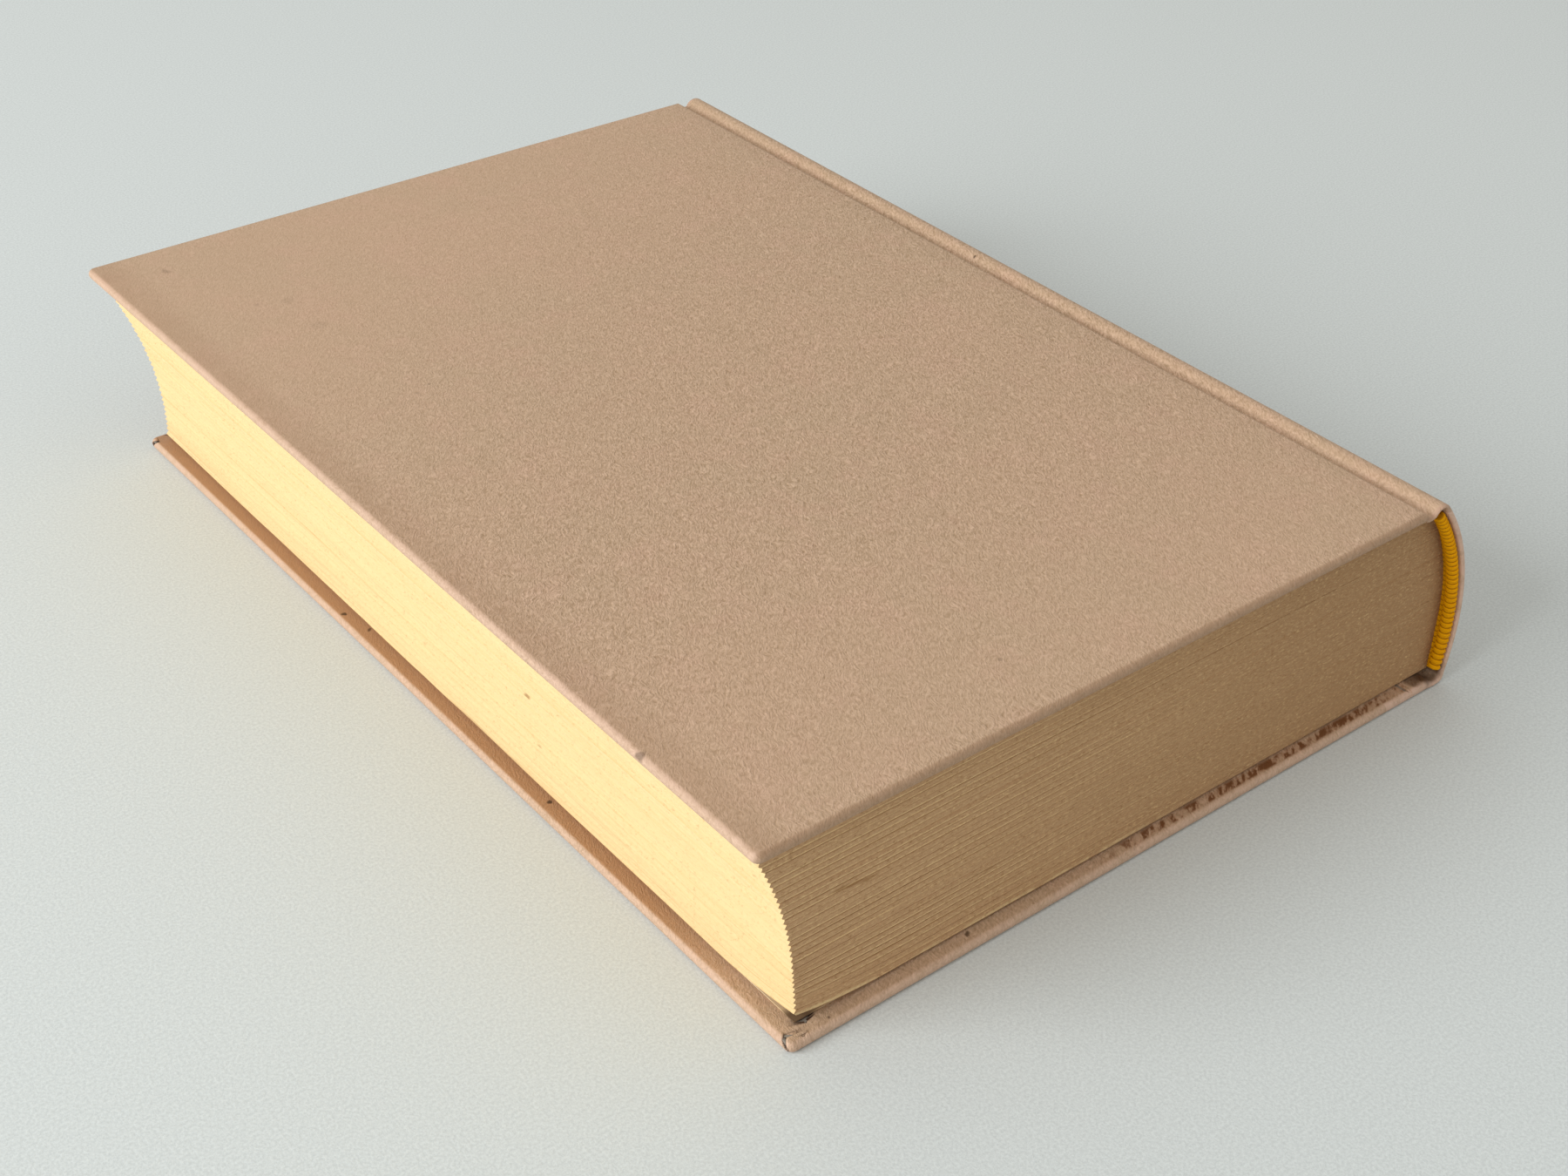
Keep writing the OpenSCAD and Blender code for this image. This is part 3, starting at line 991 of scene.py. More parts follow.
@dataclass(frozen=True)
class BookSizes:
    """Driving sizes of the book, as its solids have them."""

    cover_h: float = 210.0
    cover_w: float = 140.9
    board_t: float = 1.4
    corner_r: float = 1.3
    leather_t: float = 0.25
    turn_in_w: float = 15.0
    endpaper_t: float = 0.2
    pages_t: float = 37.2
    sections: int = 31
    square_w: float = 3.2
    fore_square: float = 2.7
    fore_hollow: float = 2.6
    spine_bulge: float = 5.5
    joint_w: float = 7.0
    ridge_r: float = 2.4
    groove_depth: float = 1.5
    inlay_t: float = 0.45
    hollow_gap: float = 0.3
    lining_t: float = 0.3
    mull_t: float = 0.3
    lean: float = 7.1
    spine_roll: float = 3.6
    fore_roll: float = 2.4
    bead_r: float = 1.2
    rib_pitch: float = 1.15
    tape_w: float = 12.0
    glue: float = 0.05
    page_gap: float = 0.1
    hinge_gap: float = 0.3
    ridge_drop: float = 0.1
    back_ridge_drop: float = 0.5
    bead_inset: float = 0.15
    bead_lift: float = 0.75
    flat_z: float = 0.15
    flat_reach: float = 14.0
    square_power: float = 5.0

    @cached_property
    def cover_t(self) -> float:
        """Thickness of a covered board."""
        return 2 * self.leather_t + 2 * self.glue + self.board_t

    @cached_property
    def flyleaf_bottom(self) -> float:
        """Height of the back flyleaf's lower face."""
        return self.cover_t + self.glue + self.endpaper_t + self.page_gap

    @cached_property
    def pages_bottom(self) -> float:
        """Height of the lowest leaf."""
        return self.flyleaf_bottom + self.endpaper_t + self.glue

    @cached_property
    def book_t(self) -> float:
        """Thickness of the whole book."""
        return 2 * self.pages_bottom + self.pages_t

    @cached_property
    def fold_t(self) -> float:
        """Thickness of the spine's folded edge: leather, inlay and turned-in leather."""
        return 2 * self.leather_t + 2 * self.glue + self.inlay_t

    @cached_property
    def mull_d(self) -> float:
        """Depth of the mull below the outer face of the spine."""
        return self.fold_t + self.hollow_gap + self.lining_t + self.glue

    @cached_property
    def block_d(self) -> float:
        """Depth of the back of the pages below the outer face of the spine."""
        return self.mull_d + self.mull_t + self.glue

    @cached_property
    def bead_y(self) -> float:
        """How far the middle of a headband's bead lies inside the end of the covers."""
        return max(self.bead_r + self.glue, self.square_w - self.bead_r - self.bead_lift)

    @cached_property
    def tilt(self) -> float:
        """Lean of the spine's chord, in radians."""
        return math.atan2(self.lean + self.spine_roll, self.book_t)

    @cached_property
    def spine_r(self) -> float:
        """Radius of the rounded back."""
        half = (self.book_t / 2 - self.ridge_drop) / math.cos(self.tilt)
        return (half**2 + self.spine_bulge**2) / (2 * self.spine_bulge)

    @cached_property
    def _back_c(self) -> Point2:
        """Centre of the rounded back.

        Returns:
            Its place along X from the back cover's fore edge, and its height.
        """
        reach = self.spine_r - self.spine_bulge
        chord_x = self.cover_w - self.lean / 2 + self.joint_w
        return (chord_x - reach * math.cos(self.tilt), self.book_t / 2 - reach * math.sin(self.tilt))

    @cached_property
    def mid_x(self) -> float:
        """From the back cover's fore edge to the middle of the whole book."""
        return (self._back_c[0] + self.spine_r - self.lean) / 2

    @cached_property
    def back_c(self) -> Point2:
        """Centre of the rounded back, in X and Z."""
        return (self._back_c[0] - self.mid_x, self._back_c[1])

    def on_arc(self, radius: float, angle: float) -> Point2:
        """X and Z of a place round the centre of the back."""
        return (self.back_c[0] + radius * math.cos(angle), self.back_c[1] + radius * math.sin(angle))

    def end_share(self, y: np.ndarray) -> np.ndarray:
        """Smooth rise from 0 to 1 over the last stretch before head and tail."""
        share = np.clip((np.abs(y) - self.cover_h / 2 + self.flat_reach) / self.flat_reach, 0, 1)
        return share**2 * (3 - 2 * share)

    def fore_x(self, z: Numbers) -> Numbers:
        """X of the hollow fore edge.

        Args:
            z: Height, or several.

        Returns:
            X there.
        """
        tilt = math.atan2(self.lean + self.fore_roll, self.book_t)
        half = self.pages_t / 2 / math.cos(tilt)
        radius = (half**2 + self.fore_hollow**2) / (2 * self.fore_hollow)
        centre_z = self.book_t / 2 - (radius - self.fore_hollow) * math.sin(tilt)
        centre_x = self.fore_square - radius - self.mid_x
        return centre_x + np.sqrt(radius**2 - (z - centre_z) ** 2)

    def back_x(self, z: Numbers, depth: float) -> Numbers:
        """X of the rounded back at a height, some way below the spine's outer face."""
        return self.back_c[0] + np.sqrt((self.spine_r - depth) ** 2 - (z - self.back_c[1]) ** 2)

    def level(self, side: Side, depth: float) -> float:
        """Height of what lies some way inside a cover's outer face."""
        return depth if side is Side.BACK else self.book_t - depth

    def board_edge(self, side: Side) -> float:
        """X of a cover's spine edge."""
        return self.cover_w - self.mid_x - (self.lean if side is Side.FRONT else 0.0)

    def fore_edge(self, side: Side) -> float:
        """X of a cover's fore edge."""
        return self.board_edge(side) - self.cover_w

    def ridge(self, side: Side) -> Point2:
        """Middle of a ridge.

        Args:
            side: Side of the ridge.

        Returns:
            Its X and Z.
        """
        drop = self.ridge_drop if side is Side.FRONT else self.back_ridge_drop
        z = self.level(side, drop + self.ridge_r)
        return (float(self.back_x(z, self.ridge_r)), z)

    def ridge_angle(self, side: Side) -> float:
        """Direction from the back's centre to a ridge, in radians."""
        x, z = self.ridge(side)
        return math.atan2(z - self.back_c[1], x - self.back_c[0])

    def foot(self, side: Side) -> tuple[float, float]:
        """Where a ridge rises from its groove.

        Args:
            side: Side of the ridge.

        Returns:
            X of its foot, and the direction to it from the ridge's middle in radians.
        """
        x, z = self.ridge(side)
        rise = self.level(side, self.groove_depth) - z
        run = math.sqrt(self.ridge_r**2 - rise**2)
        return x - run, math.atan2(rise, -run)

    def set_down(self, places: np.ndarray) -> np.ndarray:
        """Spreads the back ridge and its joint down on the table towards head and tail.

        The outer face moves and the turned-in leather stays, so that the fold there is as thick as a
        covered board.

        Args:
            places: Rows of coordinates of the joint's or the spine's leather.

        Returns:
            The moved rows.
        """
        moved = places.copy()
        share = self.end_share(places[:, 1])
        thin_t = 2 * self.leather_t + self.glue
        _, z = self.ridge(Side.BACK)
        foot_x, _ = self.foot(Side.BACK)
        flat, reach, out = around(places, self.ridge(Side.BACK))
        wide = np.where(out[:, 0] > 0, np.abs(out[:, 0]) / (self.ridge_r * 0.985), 0.0)
        deep = np.abs(out[:, 1]) / (z - self.flat_z)
        square = (wide**self.square_power + deep**self.square_power) ** (-1 / self.square_power)
        beyond = places[:, 0] > foot_x + 0.02
        in_ridge = beyond & (reach < self.ridge_r + 0.01) & (
            places[:, 2] < z + math.sin(self.ridge_angle(Side.BACK)) * reach + 1e-6)
        outer = np.clip(1 - (self.ridge_r - reach) / thin_t, 0, 1)
        push = out * ((square - self.ridge_r) * share * outer)[:, None]
        drop = (self.flat_z - places[:, 2]) * share * outer
        push = np.where(flat[:, :1] < 0, np.column_stack([np.zeros(len(drop)), drop]), push)
        moved[in_ridge, 0] += push[in_ridge, 0]
        moved[in_ridge, 2] += push[in_ridge, 1]
        in_groove = ~beyond & (places[:, 2] < self.book_t / 2)
        outer = np.clip(1 - (places[:, 2] - self.groove_depth) / thin_t, 0, 1)
        drop = (self.groove_depth - self.flat_z) * share * outer
        moved[in_groove, 2] -= drop[in_groove]
        return moved


@dataclass(frozen=True)
class Crease:
    """A slit between folded edges of leather, from a cover's fore corner inwards; painted shade makes it
    dark.
    """

    path: tuple[Point3, ...]
    depth: float
    width: float
    fade: float = 4.0

    def distance(self, local: np.ndarray) -> tuple[np.ndarray, np.ndarray]:
        """Distance of places from the slit.

        Args:
            local: Rows of coordinates, counted inwards from the cover's corner.

        Returns:
            The distances, and how open the slit is beside each place, from 0 at its inner end to 1.
        """
        points = np.array(self.path)
        best = np.full(len(local), 1e9)
        opened = np.zeros(len(local))
        passed = 0.0
        for first, last in zip(points[:-1], points[1:]):
            along = last - first
            share = np.clip((local - first) @ along / (along @ along), 0, 1)
            reach = np.linalg.norm(local - first - share[:, None] * along, axis=1)
            length = float(np.linalg.norm(along))
            opened = np.where(reach < best, np.clip((passed + share * length) / self.fade, 0, 1), opened)
            best = np.minimum(best, reach)
            passed += length
        return best, opened


@dataclass
class Cover:
    """One cover: leather round its board, and the sheets that cross its joint."""

    side: Side
    sizes: BookSizes
    palette: Palette
    cell: float = 5.0
    joint_tuck: float = 0.25
    rim_r: float = 0.95
    joint_columns: int = 30
    joint_rows: int = 31
    refining: tuple[tuple[float, int], ...] = ((2.6, 3), (1.1, 2), (0.5, 1))
    creases: tuple[Crease, ...] = (
        Crease(((8.8, 3.9, 2.0), (6.6, 3.6, 2.0), (5.0, 3.4, 2.0), (3.9, 3.3, 2.0), (2.5, 3.0, 2.0),
                (1.1, 2.5, 2.0), (0.3, 1.9, 1.75), (0.0, 1.3, 1.1), (0.1, 0.7, 0.35)), 0.5, 0.27),
        Crease(((8.2, 3.5, 2.0), (6.4, 3.1, 2.0), (5.3, 3.0, 2.0), (4.7, 2.6, 2.0), (4.1, 1.8, 2.0),
                (3.2, 1.0, 1.95)), 0.45, 0.28))
    tucks: tuple[tuple[Point3, Point3, float], ...] = (
        ((4.1, 2.5, 2.0), (0.7, 0.35, 0.5), 0.14),
        ((2.6, 1.7, 2.0), (0.8, 0.6, 0.6), 0.14),
        ((1.0, 1.4, 1.8), (0.45, 0.5, 0.6), 0.16))

    @cached_property
    def slits(self) -> tuple[Crease, ...]:
        """The creases that the cover shows.

        Returns:
            All of them for the back cover, and those of the inner face for the front one.
        """
        if self.side is Side.BACK:
            return self.creases
        inside = self.sizes.cover_t - 0.06
        return tuple(replace(c, path=tuple(p for p in c.path if p[2] > inside)) for c in self.creases)

    @property
    def body(self) -> str:
        """Name of the body that the cover rides on."""
        return f"{self.side.value}_cover"

    @property
    def up(self) -> int:
        """Direction from the cover's outer face to its inner one, along Z."""
        return 1 if self.side is Side.BACK else -1

    def build(self) -> None:
        """Builds and dresses the cover's pieces."""
        self._leather()
        self._joint_leather()
        self._endpaper_hinge()
        for node, material, slot in (
            ("board", self.palette.board, "board"),
            ("mull_flange", self.palette.gauze, "mull"),
            ("pastedown", self.palette.endpaper, "endpaper"),
        ):
            dress(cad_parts[f"{self.side.value}_{node}"], material)

    def _leather(self) -> None:
        """The leather: outer face, wrapped edges, turn-ins and the wall of the joint groove."""
        s = self.sizes
        x0, x1 = s.fore_edge(self.side), s.board_edge(self.side)
        y1 = s.cover_h / 2
        outer, inner = s.level(self.side, 0.0), s.level(self.side, s.cover_t)
        obj = Bench.block(f"{self.side.value}_cover_leather", (x0, -y1, min(outer, inner)),
                          (x1, y1, max(outer, inner)))
        turn_x, turn_y = x0 + s.turn_in_w, y1 - s.turn_in_w
        Bench.open(obj)
        x_cuts = sorted({turn_x, *np.arange(x0 + self.cell, x1 - 1.5, self.cell)})
        y_cuts = sorted({-turn_y, turn_y, *np.arange(-y1 + self.cell, y1 - 1.5, self.cell)})
        Bench.slice(obj, 0, x_cuts)
        Bench.slice(obj, 1, y_cuts)
        Bench.pick(obj, "EDGE", lambda p, d: abs(d.z) > 0.9 and abs(abs(p.y) - y1) < NEAR
                   and abs(p.x - x0) < NEAR)
        bpy.ops.mesh.bevel(offset=s.corner_r * MM, segments=4)
        Bench.pick(obj, "EDGE", lambda p, d: abs(d.z) < 0.1 and (
            abs(p.z - outer) < NEAR or abs(p.z - inner) < NEAR) and self._on_rim(p, x0, x1, y1))
        bpy.ops.mesh.bevel(offset=self.rim_r * MM, segments=6, clamp_overlap=False)
        wall_z = s.level(self.side, s.groove_depth + s.leather_t)
        wall_x = x1 - self.rim_r - 0.1
        Bench.pick(obj, "FACE", lambda p, d: p.x > wall_x and d.x > 0.02)
        bpy.ops.mesh.bisect(plane_co=(0, 0, wall_z * MM), plane_no=(0, 0, 1))
        Bench.pick(obj, "FACE", lambda p, d: (
            (p.x > wall_x and d.x > 0.02 and (p.z - wall_z) * self.up > 0)
            or (d.z * self.up > 0.9 and abs(p.z - inner) < 0.02 and p.x > turn_x
                and abs(p.y) < turn_y)
            or (d.z * self.up > 0.5 and p.x > wall_x - 0.05 and abs(p.y) < turn_y)))
        bpy.ops.mesh.delete(type="FACE")
        self._refine_corners(obj)
        Bench.close()
        self._fold_corners(obj)
        Bench.apply(obj, "SOLIDIFY", thickness=s.leather_t * MM, offset=-1.0)
        Bench.smooth(obj, 40.0)
        dress(obj, self.palette.leather, self.body, f"{self.side.value}_leather")

    def _local(self, places: np.ndarray, end: End) -> np.ndarray:
        """Places counted from a fore corner: from the fore edge, from the end, from outside.

        Args:
            places: Rows of coordinates in the part's frame.
            end: End of the book at which the corner lies.

        Returns:
            The same rows, each counted inwards from that corner of the cover.
        """
        s = self.sizes
        return np.column_stack([
            places[:, 0] - s.fore_edge(self.side),
            s.cover_h / 2 - end.value * places[:, 1],
            (places[:, 2] - s.level(self.side, 0.0)) * self.up])

    def _refine_corners(self, obj: Piece) -> None:
        """Divides the mesh finely along the slits, in edit mode.

        Args:
            obj: The leather skin.
        """
        for reach, cuts in self.refining:
            for end in End:
                bpy.ops.mesh.select_mode(type="FACE")
                bpy.ops.mesh.select_all(action="DESELECT")
                mesh = bmesh.from_edit_mesh(obj.data)
                mesh.faces.ensure_lookup_table()
                middles = np.array([f.calc_center_median() for f in mesh.faces]) / MM
                corners = [np.array([v.co for v in f.verts]) / MM for f in mesh.faces]
                sizes = np.array([np.ptp(c, axis=0).max() for c in corners]) / 2
                local = self._local(middles, end)
                near = np.min([crease.distance(local)[0] for crease in self.slits], axis=0)
                for i in np.flatnonzero(near < reach + sizes * 0.7):
                    mesh.faces[i].select_set(True)
                bmesh.update_edit_mesh(obj.data)
                bpy.ops.mesh.subdivide(number_cuts=cuts)

    def _fold_corners(self, obj: Piece) -> None:
        """Sinks the slits, raises the tucks beside them and marks painted shade by how near each vertex
        lies to a slit.

        Args:
            obj: The leather skin, not yet solid.
        """
        places = Bench.places(obj)
        normals = np.empty(len(places) * 3)
        obj.data.vertices.foreach_get("normal", normals)
        normals = normals.reshape(-1, 3)
        dark = np.zeros(len(places))
        lift = np.zeros(len(places))
        for end in End:
            local = self._local(places, end)
            for crease in self.slits:
                near, opened = crease.distance(local)
                near = near / (crease.width * (0.3 + 0.7 * opened))
                lift -= crease.depth * opened * np.exp(-(near**2))
                # Painted shade along each slit, kept as the slit attribute.
                dark = np.maximum(dark, np.exp(-((near / 1.3) ** 2)) * np.minimum(1, 2 * opened))
            for middle, radius, height in self.tucks:
                reach = np.linalg.norm((local - middle) / radius, axis=1)
                lift += height * np.exp(-(reach**2))
        Bench.put(obj, places + normals * lift[:, None])
        Bench.mark(obj, "slit", dark)

    @staticmethod
    def _on_rim(p: Vector, x0: float, x1: float, y1: float) -> bool:
        """Whether a point lies on the outline of the cover, its rounded corners included."""
        return min(abs(p.x - x0), abs(p.x - x1), abs(abs(p.y) - y1)) < 1.0

    def _strip(self, name: str, start: Point2, stop: Point2, half_length: float,
               thickness: float, ends: Sequence[float] = ()) -> Piece:
        """A thin strip along Y, finely divided across.

        Args:
            name: Name of the piece.
            start: X and Z of the strip's middle line at its cover side.
            stop: The same at its spine side.
            half_length: Half of its length along Y.
            thickness: Thickness of the sheet.
            ends: Further cuts across, counted from each end.

        Returns:
            The strip.
        """
        half = thickness / 2
        obj = Bench.block(name, (start[0], -half_length, -half), (stop[0], half_length, half))
        Bench.open(obj)
        Bench.slice(obj, 0, np.linspace(start[0], stop[0], self.joint_columns + 1)[1:-1])
        Bench.slice(obj, 1, np.linspace(-half_length, half_length, self.joint_rows + 1)[1:-1])
        Bench.slice(obj, 1, [side * (half_length - d) for side in (-1, 1) for d in ends])
        Bench.close()
        places = Bench.places(obj)
        share = (places[:, 0] - start[0]) / (stop[0] - start[0])
        places[:, 2] += start[1] + share * (stop[1] - start[1])
        Bench.put(obj, places)
        Bench.smooth(obj)
        return obj

    def _joint_leather(self) -> None:
        """The leather in the bottom of the joint groove."""
        s = self.sizes
        edge = s.board_edge(self.side)
        z = s.level(self.side, s.groove_depth + s.leather_t / 2 + 0.02)
        obj = self._strip(f"{self.side.value}_joint_leather", (edge - self.joint_tuck, z),
                          (edge + s.hinge_gap + self.joint_tuck, z), s.cover_h / 2 - 0.04,
                          s.leather_t, ends=(0.08, 0.2, 0.4, self.rim_r))
        if self.side is Side.BACK:
            Bench.put(obj, self._fill_joint(s.set_down(Bench.places(obj))))
        dress(obj, self.palette.leather)
        (edge + s.hinge_gap + 0.05) * MM
        z * MM
        (edge - 0.05) * MM
        z * MM
        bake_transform(obj)

    def _fill_joint(self, places: np.ndarray) -> np.ndarray:
        """Thickens the joint's leather to the cover's thickness near head and tail, round at its ends.

        Args:
            places: Rows of coordinates of the strip, already pressed down.

        Returns:
            The moved rows.
        """
        s = self.sizes
        share = s.end_share(places[:, 1])
        top = places[:, 2] > s.groove_depth + s.leather_t - 0.9 * share
        places[:, 2] += np.where(top, (s.cover_t - places[:, 2]) * share, 0.0)
        from_end = np.clip((s.cover_h / 2 - np.abs(places[:, 1])) / self.rim_r, 0, 1)
        middle = s.cover_t / 2
        keep = 1 - self.rim_r / middle * (1 - np.sqrt(1 - (1 - from_end) ** 2))
        places[:, 2] = middle + (places[:, 2] - middle) * np.where(share > 0.9, keep, 1.0)
        return places

    def _endpaper_hinge(self) -> None:
        """The fold of the endpaper, from the pastedown to the flyleaf."""
        s = self.sizes
        edge = s.board_edge(self.side) - s.leather_t - s.glue
        paste_z = s.level(self.side, s.cover_t + s.glue + s.endpaper_t / 2)
        leaf_z = s.level(self.side, s.flyleaf_bottom + s.endpaper_t / 2)
        obj = self._strip(f"{self.side.value}_endpaper_fold", (edge - 0.3, paste_z),
                          (edge + 1.9, leaf_z), s.cover_h / 2 - s.square_w, s.endpaper_t * 0.9)
        dress(obj, self.palette.endpaper)
        (edge + 1.6) * MM
        leaf_z * MM
        (edge + 0.1) * MM
        paste_z * MM
        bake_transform(obj)


@dataclass
class Spine:
    """The spine's leather, folded over at head and tail, and the layers under it."""

    sizes: BookSizes
    palette: Palette
    body: str = "text_block"
    ridge_steps: int = 14
    back_steps: int = 44
    length_cuts: int = 30
    thinned_by: float = 0.3

    def build(self) -> None:
        """Builds the leather and dresses the hidden layers."""
        self._leather()
        for node, material, slot in (
            ("spine_mull", self.palette.gauze, "mull"),
            ("spine_lining", self.palette.lining, "lining"),
            ("spine_inlay", self.palette.lining, "lining"),
        ):
            dress(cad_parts[node], material)

    def _profile(self, x: float, z: float) -> Piece:
        """The spine's edge as a line along Y: outer face, rounded fold and turned-in leather.

        Args:
            x: Place of the line.
            z: Height of the outer face there.

        Returns:
            The half of the line on the head's side, as edges alone, all selected in edit mode.
        """
        s = self.sizes
        fold_r = s.fold_t / 2
        end = -s.cover_h / 2
        obj = Bench.start("spine_leather_skin", bpy.ops.mesh.primitive_circle_add, vertices=16,
                          radius=fold_r * MM, fill_type="NOTHING", rotation=(0, math.pi / 2, 0),
                          location=(x * MM, (end + fold_r) * MM, (z - fold_r) * MM))
        Bench.open(obj)
        Bench.pick(obj, "VERT", lambda p, d: p.y > end + fold_r + 0.01)
        bpy.ops.mesh.delete(type="VERT")
        Bench.pick(obj, "VERT", lambda p, d: p.z > z - 0.01)
        self._extrude(-end - fold_r, self.length_cuts, 1)
        Bench.pick(obj, "VERT", lambda p, d: p.z < z - 2 * fold_r + 0.01)
        self._extrude(s.turn_in_w - fold_r, 4, 1)
        bpy.ops.mesh.select_mode(type="EDGE")
        bpy.ops.mesh.select_all(action="SELECT")
        return obj

    @staticmethod
    def _extrude(distance: float, steps: int, axis: int) -> None:
        """Draws what is selected out in equal steps.

        Args:
            distance: How far, in millimetres.
            steps: In how many pieces.
            axis: 0 along X, 1 along Y.
        """
        move = [0.0, 0.0, 0.0]
        move[axis] = distance / steps * MM
        for _ in range(steps):
            bpy.ops.mesh.extrude_region_move(TRANSFORM_OT_translate={"value": move})

    def _leather(self) -> None:
        """The spine's leather, spun round its ridges and its back from one edge line."""
        s = self.sizes
        front, back = Side.FRONT, Side.BACK
        start_x = s.board_edge(front) + s.hinge_gap
        foot_x, foot_angle = s.foot(front)
        obj = self._profile(start_x, s.level(front, s.groove_depth))
        self._extrude(foot_x - start_x, 3, 0)
        self._turn((foot_x, s.level(front, s.groove_depth)), foot_angle - math.pi / 2)
        Bench.spin(s.ridge(front), s.ridge_angle(front) - foot_angle, self.ridge_steps,
                   use_auto_merge=False)
        Bench.spin(s.back_c, s.ridge_angle(back) - s.ridge_angle(front), self.back_steps,
                   use_auto_merge=False)
        foot_x, foot_angle = s.foot(back)
        Bench.spin(s.ridge(back), foot_angle - s.ridge_angle(back), self.ridge_steps,
                   use_auto_merge=False)
        self._turn((foot_x, s.level(back, s.groove_depth)), -math.pi / 2 - foot_angle)
        self._extrude(s.board_edge(back) + s.hinge_gap - foot_x, 6, 0)
        Bench.close()
        self._thin_folds(obj)
        Bench.put(obj, s.set_down(Bench.places(obj)))
        Bench.apply(obj, "MIRROR", use_axis=(False, True, False), use_clip=True,
                    use_mirror_merge=True, merge_threshold=0.01 * MM)
        self._face_out(obj)
        Bench.apply(obj, "SOLIDIFY", thickness=s.leather_t * MM, offset=-1.0)
        Bench.smooth(obj, 50.0)
        dress(obj, self.palette.leather, self.body, "spine_leather")

    def _thin_folds(self, obj: Piece) -> None:
        """Presses the turned-in leather flat in the grooves and ridges, which hold no inlay.

        Args:
            obj: The leather skin of the half at the head.
        """
        s = self.sizes
        places = Bench.places(obj)
        thin = (2 * s.leather_t + s.glue) / s.fold_t
        for side in Side:
            foot_x, foot_angle = s.foot(side)
            flat, reach, out = around(places, s.ridge(side))
            angle = np.arctan2(flat[:, 1], flat[:, 0])
            sweep = (angle - s.ridge_angle(side)) / (foot_angle - s.ridge_angle(side))
            on_side = (places[:, 2] > s.book_t / 2) == (side is Side.FRONT)
            beyond = places[:, 0] > foot_x + 0.02
            in_ridge = on_side & beyond & (sweep > 0) & (reach < s.ridge_r + 0.01)
            share = np.clip(sweep / self.thinned_by, 0, 1) * (1 - thin)
            move = out * ((s.ridge_r - reach) * share)[:, None]
            places[in_ridge, 0] += move[in_ridge, 0]
            places[in_ridge, 2] += move[in_ridge, 1]
            in_groove = on_side & ~beyond
            floor_z = s.level(side, s.groove_depth)
            places[in_groove, 2] = floor_z + (places[in_groove, 2] - floor_z) * thin
        Bench.put(obj, places)

    @staticmethod
    def _turn(at: Point2, angle: float) -> None:
        """Turns the selected line about an axis along Y, so that its fold stands square again."""
        bpy.ops.transform.rotate(value=angle, orient_axis="Y",
                                 center_override=(at[0] * MM, 0, at[1] * MM))

    def _face_out(self, obj: Piece) -> None:
        """Turns the open skin's faces to the outside, as seen at the middle of the back.

        Args:
            obj: The leather skin.
        """
        Bench.outward(obj)
        crown = max((f for f in obj.data.polygons if abs(f.center.y) < 0.02), key=lambda f: f.center.x)
        if crown.normal.x < 0:
            Bench.open(obj)
            bpy.ops.mesh.select_all(action="SELECT")
            bpy.ops.mesh.flip_normals()
            Bench.close()


